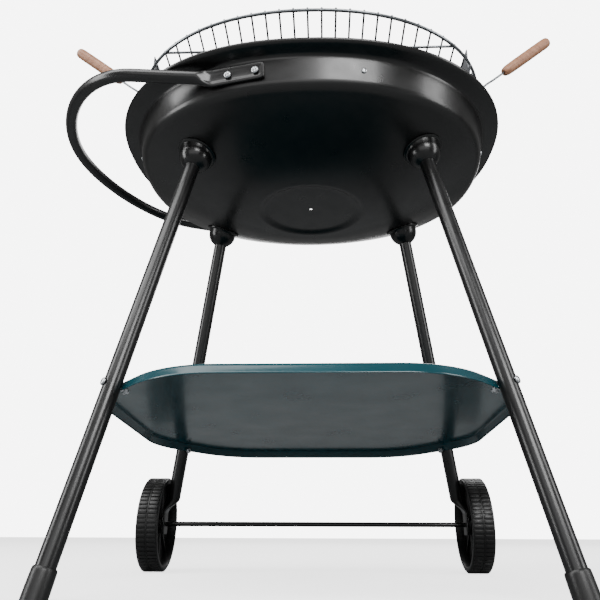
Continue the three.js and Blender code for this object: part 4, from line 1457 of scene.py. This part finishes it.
@dataclass
class Shelf:
    """The low tray: a rounded octagon of enamelled sheet with a flared flange, tilted."""

    legs: Legs
    back: float = 5.063
    top: float = 224.4
    tilt: float = math.radians(3.05)
    half_width: float = 268.0
    half_depth: float = 276.0
    corner_distance: float = 302.473
    corner_angle: float = 42.0
    corner_radius: float = 130.0
    sheet: float = 1.2
    flange: float = 13.0
    flare: float = 3.6
    bolt_drop: float = 8.0

    def flare_at(self, z: float) -> float:
        """How far the flange leans out at a depth below the tray's top."""
        return self.flare * -z / self.flange

    def outline(self, grow: float, z: float) -> list[Vector]:
        """The rounded octagon grown by a distance, at one height.

        Args:
            grow: how far it grows.
            z: its height.

        Returns:
            Its points.
        """
        sides = []
        for base in (0, 180):
            sides += [
                (base, self.half_width), (base + self.corner_angle, self.corner_distance),
                (base + 90, self.half_depth),
                (base + 180 - self.corner_angle, self.corner_distance),
            ]
        points = []
        for (a_deg, from_axis), (b_deg, to_axis) in zip(sides, sides[1:] + sides[:1]):
            a, b = math.radians(a_deg), math.radians(b_deg)
            turn = math.sin(b - a)
            da, db = from_axis - self.corner_radius, to_axis - self.corner_radius
            x = (da * math.sin(b) - db * math.sin(a)) / turn
            y = (db * math.cos(a) - da * math.cos(b)) / turn
            sweep = (b - a) % TAU
            radius = self.corner_radius + grow
            for i in range(17):
                angle = a + sweep * i / 16
                points.append(
                    Vector((x + radius * math.cos(angle), y + radius * math.sin(angle), z))
                )
        return points

    def bolt(self, xs: int, ys: int) -> tuple[Vector, Vector]:
        """Where a shelf bolt crosses its leg's axis, and its outward direction.

        Args:
            xs: -1 on the left, 1 on the right.
            ys: -1 in front, 1 behind.

        Returns:
            The place and the direction.
        """
        z = self.top - self.bolt_drop
        for _ in range(12):
            rise = math.tan(self.tilt) * self.legs.point(xs, ys, z).y
            z = self.top - self.bolt_drop - rise
        at, up = self.legs.point(xs, ys, z), self.legs.up(xs, ys)
        plan = math.radians(self.corner_angle)
        out = Vector((xs * math.cos(plan), ys * math.sin(plan), 0))
        return at, (out - up * out.dot(up)).normalized()

    def build(self) -> None:
        """Makes the tray with its bolts and nuts."""
        bend = 4.0
        inner, outer = [], []
        for i in range(6):
            turn = math.pi / 2 * i / 5
            outer.append((-bend + bend * math.sin(turn), -bend + bend * math.cos(turn)))
            small = bend - self.sheet
            inner.append((-bend + small * math.sin(turn), -bend + small * math.cos(turn)))
        line = [(g + self.flare_at(z) * (i / 5), z) for i, (g, z) in enumerate(inner)]
        low, edge = -self.flange, self.flare
        bead = low + 2.6
        line += [
            (self.flare_at(bead) - self.sheet, bead), (edge - 1.4, low + 1.6),
            (edge - 1.4, low + 0.4),
            (edge - 1.0, low), (edge - 0.3, low), (edge + 0.1, low + 0.4), (edge + 0.1, low + 1.6),
            (self.flare_at(bead), bead),
        ]
        back = reversed(list(enumerate(outer)))
        line += [(g + self.flare_at(z) * (i / 5), z) for i, (g, z) in back]
        place = Matrix.Translation(
            (0, self.back, self.top - self.back * math.tan(self.tilt))
        ) @ Matrix.Rotation(-self.tilt, 4, "X")
        tray = Shape.loft([self.outline(g, z) for g, z in line]).moved(place)
        make_piece("shelf_tray", tray, TEAL_ENAMEL, Body.GRILL, ["shelf"], 40)
        screws, nuts, screw_names, nut_names = [], [], [], []
        for ys, row in ROWS:
            for xs, side in ENDS:
                at, out = self.bolt(xs, ys)
                screws.append(Spot(at + out * 11.3, out))
                nuts.append(Spot(at + out * -15.1, out))
                screw_names.append(f"shelf_bolt_{row}_{side}")
                nut_names.append(f"shelf_nut_{row}_{side}")
        Fastening("shelf_bolt_set", 5.0, 3.2, 2.5, 33.4).build(screws, screw_names)
        nut_set("shelf_nut_set", 2.5, nuts, nut_names)


@dataclass(frozen=True)
class Fastening:
    """A cross-recessed pan-head screw, its seat at the origin."""

    name: str
    head_radius: float
    head_height: float
    shank: float
    length: float

    def build(self, spots: Sequence[Spot], names: Sequence[str]) -> None:
        """Makes a screw at every spot.

        Args:
            spots: the seats.
            names: the frame's nodes that they replace.
        """
        r, h = self.head_radius, self.head_height
        profile = [
            (self.shank - 0.4, -self.length), (self.shank, -self.length + 0.5), (self.shank, 0.0),
            (r - 0.2, 0.0), (r, 0.25), (r, h * 0.3),
        ]
        domes = (0.35, 0.7, 1.0, 1.25, 1.45)
        profile += [(r * math.cos(t), h * (0.3 + 0.7 * math.sin(t))) for t in domes]
        arm, half = r * 0.6, r * 0.13
        quarter = [(arm, -half), (arm, half), (half, half)]
        outline = []
        for c, sn in ((1, 0), (0, 1), (-1, 0), (0, -1)):
            outline += [Vector((x * c - y * sn, x * sn + y * c, h * 0.45)) for x, y in quarter]
        cross = Shape.plate(outline, Vector((0, 0, h)))
        screw = copies(self.name, Shape.turned(profile, 28), spots, ZINC_PLATE, cutter=cross)
        dress(screw, ZINC_PLATE, Body.GRILL, names)


def nut_set(name: str, screw_radius: float, spots: Sequence[Spot], names: Sequence[str]) -> None:
    """Makes a hex nut at every spot, its outer face at the spot.

    Args:
        name: its name.
        screw_radius: of the hole.
        spots: the places.
        names: the frame's nodes that they replace.
    """
    nut = Shape.turned([
        (screw_radius, -4.0), (4.0, -4.0), (4.6, -3.6), (4.6, -0.4), (4.0, 0.0),
        (screw_radius, 0.0),
    ], 6, looped=True)
    dress(copies(name, nut, spots, ZINC_PLATE), ZINC_PLATE, Body.GRILL, names)


@dataclass
class PushHandle:
    """A tube loop on the left whose ends are pressed flat on the bowl's wall, with its screws."""

    bowl: Bowl
    radius: float = 9.0
    flat_half: float = 2.4
    flat_half_height: float = 12.5
    squash_start: float = 128.0
    screw_inner: float = 69.0
    screw_outer: float = 107.0
    stand_off: float = 3.3
    reach: float = 402.0
    rise: float = math.radians(8.3)
    seat: float = field(init=False)
    slope: float = field(init=False)
    spread: float = math.radians(5)
    z: float = 645.0

    def __post_init__(self) -> None:
        """Finds the chord between the two screws on the bowl's wall."""
        self.seat = self.bowl.wall_depth(self.screw_inner, self.z)
        drop = self.seat - self.bowl.wall_depth(self.screw_outer, self.z)
        self.slope = math.atan2(drop, self.screw_outer - self.screw_inner)

    def flat_point(self, distance: float, ys: int) -> Vector:
        """A point on the middle line of an arm: along the wall's chord, then a little less inwards.

        Args:
            distance: sideways from the middle.
            ys: -1 in front, 1 behind.

        Returns:
            The point.
        """
        near = min(distance, self.squash_start)
        past = distance - near
        inwards = (near - self.screw_inner) * math.tan(self.slope)
        across = self.seat + self.stand_off - inwards - past * math.tan(self.spread)
        return Vector((-distance, ys * across, self.z))

    def out(self, ys: int) -> Vector:
        """The screws' outward direction."""
        level = Vector((-math.sin(self.slope), ys * math.cos(self.slope), 0))
        return self.bowl.square_to_wall(level)

    def stations(self) -> list[Station]:
        """The loop's cross-sections from the front end round to the rear end.

        Returns:
            The stations.
        """
        marks = [(58.0, 1.0), (59.5, 1.0), (62.0, 1.0), (66.0, 1.0), (96.0, 1.0), (120.0, 1.0)]
        marks += [(128 + 24 * i / 10, 1 - smooth(i / 10)) for i in range(11)]
        marks += [(180.0, 0.0), (215.0, 0.0)]
        half = [(self.flat_point(d, -1), flat, d) for d, flat in marks]
        curve = bezier([
            self.flat_point(246, -1), self.flat_point(329, -1),
            Vector((-self.reach, -100, self.z)), Vector((-self.reach, 0, self.z)),
        ], 24)
        half += [(p, 0.0, 999.0) for p in curve]
        path = half + [(Vector((p.x, -p.y, p.z)), flat, d) for p, flat, d in reversed(half[:-1])]
        for p, _, _ in path:
            p.z += max(-p.x - self.squash_start, 0.0) * math.tan(self.rise)
        out = []
        for i, (at, flat, d) in enumerate(path):
            along = (path[min(i + 1, len(path) - 1)][0] - path[max(i - 1, 0)][0]).normalized()
            inwards = Vector((along.y, -along.x, 0)).normalized()
            tilt = self.bowl.lean * flat
            tip = {58.0: 0.78, 59.5: 0.9, 62.0: 0.97}.get(d, 1.0)
            out.append(Station(
                at=at, along=along,
                side=Vector((
                    inwards.x * math.cos(tilt), inwards.y * math.cos(tilt), math.sin(tilt),
                )),
                half_side=self.radius + (self.flat_half - self.radius) * flat,
                half_up=(self.radius + (self.flat_half_height - self.radius) * flat) * tip,
                flat=flat, crease=1.3 * flat + 1.2 * flat * (1 - flat) if d > 63 else 0.0,
            ))
        return out

    def build(self) -> None:
        """Makes the loop, its four screws and nuts."""
        loop = tube_shape(self.stations(), 56)
        make_piece("push_loop", loop, BLACK_POWDER, Body.GRILL, ["push_handle"])
        screws, nuts, screw_names, nut_names = [], [], [], []
        for ys, row in ROWS:
            for d, label, nut in (
                (self.screw_inner, "inner", -11.45), (self.screw_outer, "outer", -5.4),
            ):
                at, out = self.flat_point(d, ys), self.out(ys)
                screws.append(Spot(at + out * 2.7, out))
                nuts.append(Spot(at + out * nut, out))
                screw_names.append(f"handle_screw_{row}_{label}")
                nut_names.append(f"handle_nut_{row}_{label}")
        Fastening("handle_screw_set", 5.0, 2.6, 2.2, 18.0).build(screws, screw_names)
        nut_set("handle_nut_set", 2.2, nuts, nut_names)


@dataclass
class CookingRack:
    """The lift-off grate of chromed wire with two turned grips."""

    half_width: float = 285.0
    half_depth: float = 230.0
    squareness: float = 2.15
    z: float = 768.0
    frame_wire: float = 2.5
    bar_wire: float = 1.5
    cross_wire: float = 2.0
    pitch: float = 20.45
    bars: int = 13
    bar_z: float = 771.3
    cross_z: float = 768.5
    cross_reach: float = 150.0
    middle_reach: float = 245.4
    lean: float = math.radians(38)
    grip_start: Vector = field(default_factory=lambda: Vector((347, 0, 841)))

    def grip_path(self, xs: int) -> list[Vector]:
        """The grip's wire: from under the bars, round the frame and up into the grip.

        Args:
            xs: -1 on the left, 1 on the right.

        Returns:
            Its points.
        """
        along = Vector((math.cos(self.lean), 0, math.sin(self.lean)))
        line = self.grip_start - along * 48
        marks = [
            Vector((261, 0, self.cross_z)), Vector((279, 0, 764.2)), Vector((290, 0, 766.5)),
            line.lerp(Vector((294, 0, 774)), 0.45), line, line.lerp(self.grip_start, 0.5),
            self.grip_start.copy(), self.grip_start + along * 30,
        ]
        return [Vector((xs * p.x, p.y, p.z)) for p in rounded_path(marks, 6)]

    def build(self) -> None:
        """Makes the grate and both grips."""
        ring = oval_ring(self.half_width, self.half_depth, self.squareness, self.z, 160)
        bars, cross, grips = Shape(), Shape(), Shape()
        for i in range(-self.bars, self.bars + 1):
            x = i * self.pitch
            end = reach_at(self.half_depth, self.half_width, self.squareness, x) + 0.8
            bars.add(Shape.line([Vector((x, -end, self.bar_z)), Vector((x, end, self.bar_z))]))
        reaches = [
            (y, reach_at(self.half_width, self.half_depth, self.squareness, y))
            for y in (-self.cross_reach, self.cross_reach)
        ]
        for y, end in reaches + [(0, self.middle_reach)]:
            cross.add(Shape.line([Vector((-end, y, self.cross_z)), Vector((end, y, self.cross_z))]))
        for xs in SIDES:
            grips.add(Shape.line(self.grip_path(xs)))
        parts = [
            wire_object("grate_frame", ring, self.frame_wire, CHROMED_WIRE),
            wire_object("grate_bars", bars, self.bar_wire, CHROMED_WIRE),
            wire_object("grate_cross_rods", cross, self.cross_wire, CHROMED_WIRE),
            wire_object("grip_wires", grips, self.cross_wire, CHROMED_WIRE),
        ]
        rack = joined(parts, "wire_cooking_grate")
        dress(rack, CHROMED_WIRE, Body.COOKING_RACK, ["cooking_grate"])
        profile = [
            (2.35, 60), (2.35, 0.6), (3.0, 0.0), (6.2, 0.0), (6.8, 0.5), (7.5, 2.2), (8.4, 5.0),
            (9.0, 9.0), (9.3, 18.0), (9.45, 32.0), (9.5, 50.0), (9.5, 80.0), (9.45, 98.0),
            (9.2, 103.0), (8.6, 106.4), (7.7, 107.8), (6.6, 108.0), (2.0, 108.0),
        ]
        for xs, side, finish in zip(SIDES, ("left", "right"), (BEECH_LEFT, BEECH_RIGHT)):
            at = Vector((xs * self.grip_start.x, 0, self.grip_start.z))
            along = Vector((xs * math.cos(self.lean), 0, math.sin(self.lean)))
            grip = Shape.turned(profile, 56).moved(aim(at, along))
            make_piece(
                f"turned_grip_{side}", grip, finish, Body.COOKING_RACK, [f"wooden_grip_{side}"]
            )


@dataclass
class GrateHolders:
    """Galvanised plates with stepped hooks, bent at the foot and screwed to the end walls."""

    bowl: Bowl
    x: float = 256.0
    sheet: float = 1.5
    top: float = 805.0
    foot: float = 657.0
    strip: float = 16.0
    root: float = 103.3
    tip: float = 113.3
    width: float = 46.0
    ledge: float = 765.2
    tooth_pitch: float = 25.0
    tab_half: float = 52.0
    screw_y: float = 40.0
    screw_z: float = 648.0

    def outline(self) -> list[tuple[float, float]]:
        """The plate's outline as (y, z).

        Returns:
            Its corners in order.
        """
        half = [(self.root - 20, self.foot)]
        for i in (2, 1, 0):
            ledge = self.ledge - self.tooth_pitch * i
            half += [
                (self.root, ledge - 15), (self.tip - 0.8, ledge - 3.4), (self.tip, ledge - 2.6),
                (self.tip, ledge - 0.6), (self.tip - 0.6, ledge), (self.root + 1, ledge),
                (self.root, ledge + 1),
            ]
        inner = self.root - self.width
        half += [
            (self.root, self.top - 3), (self.root - 0.9, self.top - 0.9), (self.root - 3, self.top),
            (inner + 3, self.top), (inner + 0.9, self.top - 0.9), (inner, self.top - 3),
        ]
        low = self.foot + self.strip
        half += [(inner, low + 6), (inner - 1.8, low + 1.8), (inner - 6, low)]
        return half + [(-y, z) for y, z in reversed(half)]

    def build(self) -> None:
        """Makes both holders and their screws."""
        spots, names = [], []
        for xs, side in ENDS:
            outline = [Vector((xs * self.x - self.sheet / 2, y, z)) for y, z in self.outline()]
            shape = Shape.plate(outline, Vector((self.sheet, 0, 0)))
            low = self.foot + self.sheet - 18
            tab = self.bowl.wall_width(self.tab_half, low) - self.bowl.sheet - SEAT_GAP - self.sheet
            edges = sorted((xs * (self.x - self.sheet / 2), xs * (tab + self.sheet / 2)))
            half, top = self.tab_half, self.foot + self.sheet
            shape.add(block((edges[0], -half, self.foot), (edges[1], half, top)))
            sides = sorted((xs * (tab - self.sheet / 2), xs * (tab + self.sheet / 2)))
            shape.add(block((sides[0], -half, low), (sides[1], half, top)))
            make_piece(
                f"hooked_holder_{side}", shape, GALVANISED, Body.GRILL, [f"grate_holder_{side}"],
                bevel_mm=0.35,
            )
            for ys, row in ROWS:
                reach = self.bowl.wall_width(self.screw_y, self.screw_z)
                wall = Vector((xs * reach, ys * self.screw_y, self.screw_z))
                out = self.bowl.wall_normal(*wall)
                spots.append(Spot(wall + out * SEAT_GAP, out, Vector((0, 1, 0))))
                names.append(f"holder_screw_{row}_{side}")
        Fastening("holder_screw_set", 3.8, 2.2, 2.0, 12.0).build(spots, names)


@dataclass
class CharcoalRack:
    """The coal grate of mill-scale wire inside the bowl, on four angle brackets."""

    bowl: Bowl
    handle: PushHandle
    half_width: float = 246.0
    half_depth: float = 236.0
    squareness: float = 2.2
    z: float = 636.0
    bar_z: float = 639.8
    cross_z: float = 636.5
    pitch: float = 28.0
    bars: int = 8
    cross_reach: float = 110.0
    frame_wire: float = 2.5
    bar_wire: float = 2.0
    bracket_top: float = 633.2
    bracket_half: float = 10.0
    bracket_sheet: float = 2.0
    right_x: float = 76.0

    def bracket(self, label: str, wall: Vector, out: Vector) -> None:
        """Makes one bent bracket inside the wall.

        Args:
            label: its place in words.
            wall: the wall's outer face.
            out: the outward direction.
        """
        turn = math.atan2(out.y, out.x) - math.pi / 2
        place = Matrix.Translation(wall) @ Matrix.Rotation(turn, 4, "Z")
        back = -(1.5 + 3.433)
        top = self.bracket_top - wall.z
        half, sheet = self.bracket_half, self.bracket_sheet
        shape = block((-half, back - 24, top - sheet), (half, back, top))
        shape.add(block((-half, back - sheet, top - sheet), (half, back, top + 17)))
        make_piece(
            f"angle_bracket_{label}", shape.moved(place), GALVANISED, Body.GRILL,
            [f"coal_bracket_{label}"], bevel_mm=0.5,
        )

    def build(self) -> None:
        """Makes the grate, brackets, screws and nuts."""
        ring = oval_ring(self.half_width, self.half_depth, self.squareness, self.z, 120)
        bars, cross = Shape(), Shape()
        for i in range(-self.bars, self.bars + 1):
            y = i * self.pitch
            end = reach_at(self.half_width, self.half_depth, self.squareness, y)
            bars.add(Shape.line([Vector((-end, y, self.bar_z)), Vector((end, y, self.bar_z))]))
        for x in (-self.cross_reach, self.cross_reach):
            end = reach_at(self.half_depth, self.half_width, self.squareness, x)
            cross.add(Shape.line([Vector((x, -end, self.cross_z)), Vector((x, end, self.cross_z))]))
        parts = [
            wire_object("coal_frame", ring, self.frame_wire, IRON_WIRE),
            wire_object("coal_bars", bars, self.bar_wire, IRON_WIRE),
            wire_object("coal_cross_rods", cross, self.bar_wire, IRON_WIRE),
        ]
        rack = joined(parts, "wire_charcoal_grate")
        dress(rack, IRON_WIRE, Body.CHARCOAL_RACK, ["charcoal_grate"])
        screws, nuts = [], []
        for ys, row in ROWS:
            out = self.handle.out(ys)
            left = self.handle.flat_point(self.handle.screw_inner, ys) - out * self.handle.stand_off
            self.bracket(f"{row}_left", left, out)
            level = self.handle.z
            depth = self.bowl.wall_depth(self.right_x, level)
            wall = Vector((self.right_x, ys * depth, level))
            out = self.bowl.wall_normal(*wall)
            self.bracket(f"{row}_right", wall, out)
            screws.append(Spot(wall + out * SEAT_GAP, out))
            nuts.append(Spot(wall + out * -7.85, out))
        screw_names = [f"bracket_screw_{row}" for _, row in ROWS]
        Fastening("bracket_screw_set", 3.8, 2.2, 2.0, 13.8).build(screws, screw_names)
        nut_set("bracket_nut_set", 2.0, nuts, [f"bracket_nut_{row}" for _, row in ROWS])


# ---------------------------------------------------------------- setting


@dataclass
class Setting:
    """Camera, floor, lights and surrounding light."""

    lens: float = 37.93
    up_tilt: float = math.radians(20.10)
    pan: float = -0.037
    roll: float = 0.0036
    floor_half: float = 6000.0
    place: Vector = field(default_factory=lambda: Vector((0.0171, -0.95615, 0.0663)))

    def camera(self) -> None:
        """Makes the camera, looking up from low in front."""
        sp, cp = math.sin(self.pan), math.cos(self.pan)
        st, ct = math.sin(self.up_tilt), math.cos(self.up_tilt)
        forward = Vector((sp * ct, cp * ct, st))
        level = Vector((cp, -sp, 0))
        above = level.cross(forward)
        right = level * math.cos(self.roll) + above * math.sin(self.roll)
        top = -level * math.sin(self.roll) + above * math.cos(self.roll)
        lens = bpy.data.cameras.new("camera")
        lens.lens = self.lens
        lens.sensor_width = 36
        lens.clip_start = 0.02
        item = bpy.data.objects.new("camera", lens)
        bpy.context.scene.collection.objects.link(item)
        turn = Matrix((right, top, -forward)).transposed().to_4x4()
        item.matrix_world = Matrix.Translation(self.place) @ turn
        bpy.context.scene.camera = item

    def light(
        self, name: str, at: Sequence[float], target: Sequence[float],
        size: tuple[float, float], watts: float,
    ) -> None:
        """Adds one large soft light.

        Args:
            name: its name.
            at: where it stands, in metres.
            target: what it looks at.
            size: its two sides.
            watts: its power.
        """
        lamp = bpy.data.lights.new(name, "AREA")
        lamp.shape = "RECTANGLE"
        lamp.size, lamp.size_y = size
        lamp.energy = watts
        item = bpy.data.objects.new(name, lamp)
        bpy.context.scene.collection.objects.link(item)
        look = Vector(target) - Vector(at)
        turn = look.to_track_quat("-Z", "Y").to_matrix().to_4x4()
        item.matrix_world = Matrix.Translation(at) @ turn
        item.visible_camera = False

    def floor(self) -> None:
        """Lays a plain pale floor."""
        corners = ((-1, -1), (1, -1), (1, 1), (-1, 1))
        half = self.floor_half
        shape = Shape([Vector((x * half, y * half, 0)) for x, y in corners], [(0, 1, 2, 3)])
        floor = loose_object(to_mesh(shape, "pale_floor"))
        material = bpy.data.materials.new("pale_matt_floor")
        material.use_nodes = True
        shader = material.node_tree.nodes["Principled BSDF"]
        shader.inputs["Roughness"].default_value = 0.95
        shader.inputs["Specular IOR Level"].default_value = 0.1
        tree = material.node_tree
        seen = add_node(tree, "ShaderNodeLightPath").outputs["Is Camera Ray"]
        tone = add_node(
            tree, "ShaderNodeMix", {"A": linear("8A8C8D"), "B": linear("F6F6F6")}, {"Factor": seen},
            data_type="RGBA",
        )
        glow = add_node(tree, "ShaderNodeMath", {1: 2.2}, {0: seen}, operation="MULTIPLY")
        tree.links.new(tone.outputs["Result"], shader.inputs["Base Color"])
        shader.inputs["Emission Color"].default_value = linear("FFFFFF")
        tree.links.new(glow.outputs["Value"], shader.inputs["Emission Strength"])
        floor.data.materials.append(material)

    def surroundings(self) -> None:
        """Makes the surrounding light: white behind the object, dimmer in its reflections."""
        world = bpy.data.worlds.new("studio")
        world.use_nodes = True
        bpy.context.scene.world = world
        tree = world.node_tree
        sky = tree.nodes["Background"]
        sky.inputs["Color"].default_value = linear("FFFFFF")
        path = add_node(tree, "ShaderNodeLightPath")
        power = add_node(
            tree, "ShaderNodeMapRange", {"To Min": 0.2, "To Max": 7.0},
            {"Value": path.outputs["Is Camera Ray"]},
        )
        tree.links.new(power.outputs["Result"], sky.inputs["Strength"])

    def build(self) -> None:
        """Sets everything round the grill."""
        self.floor()
        self.surroundings()
        self.light("key_above", (-1.2, -1.4, 2.6), (0, 0, 0.6), (2.2, 1.6), 60)
        self.light("front_box", (0.9, -3.0, 1.95), (0.1, 0, 0.65), (1.5, 0.9), 66)
        self.light("front_wash", (-0.2, -3.4, 0.9), (0, 0, 0.6), (4.2, 1.7), 30)
        self.light("strip_right", (2.1, -0.9, 1.2), (0.1, 0, 0.6), (0.6, 2.0), 26)
        self.light("strip_left", (-2.1, -0.7, 1.1), (0, 0, 0.6), (0.6, 2.0), 32)
        self.light("back_wash", (0.4, 2.4, 1.8), (0, 0, 0.5), (2.4, 1.2), 30)


def main() -> None:
    """Builds the grill in order."""
    logging.basicConfig(level=logging.INFO, format="%(name)s %(message)s", stream=sys.stdout)
    setting = Setting()
    setting.camera()
    bowl = Bowl()
    legs = Legs(bowl)
    handle = PushHandle(bowl)
    for part in (
        bowl, legs, Wheels(), Shelf(legs), handle, CookingRack(), GrateHolders(bowl),
        CharcoalRack(bowl, handle), setting,
    ):
        LOG.info("building %s", type(part).__name__)
        part.build()


if __name__ == "__main__":
    main()
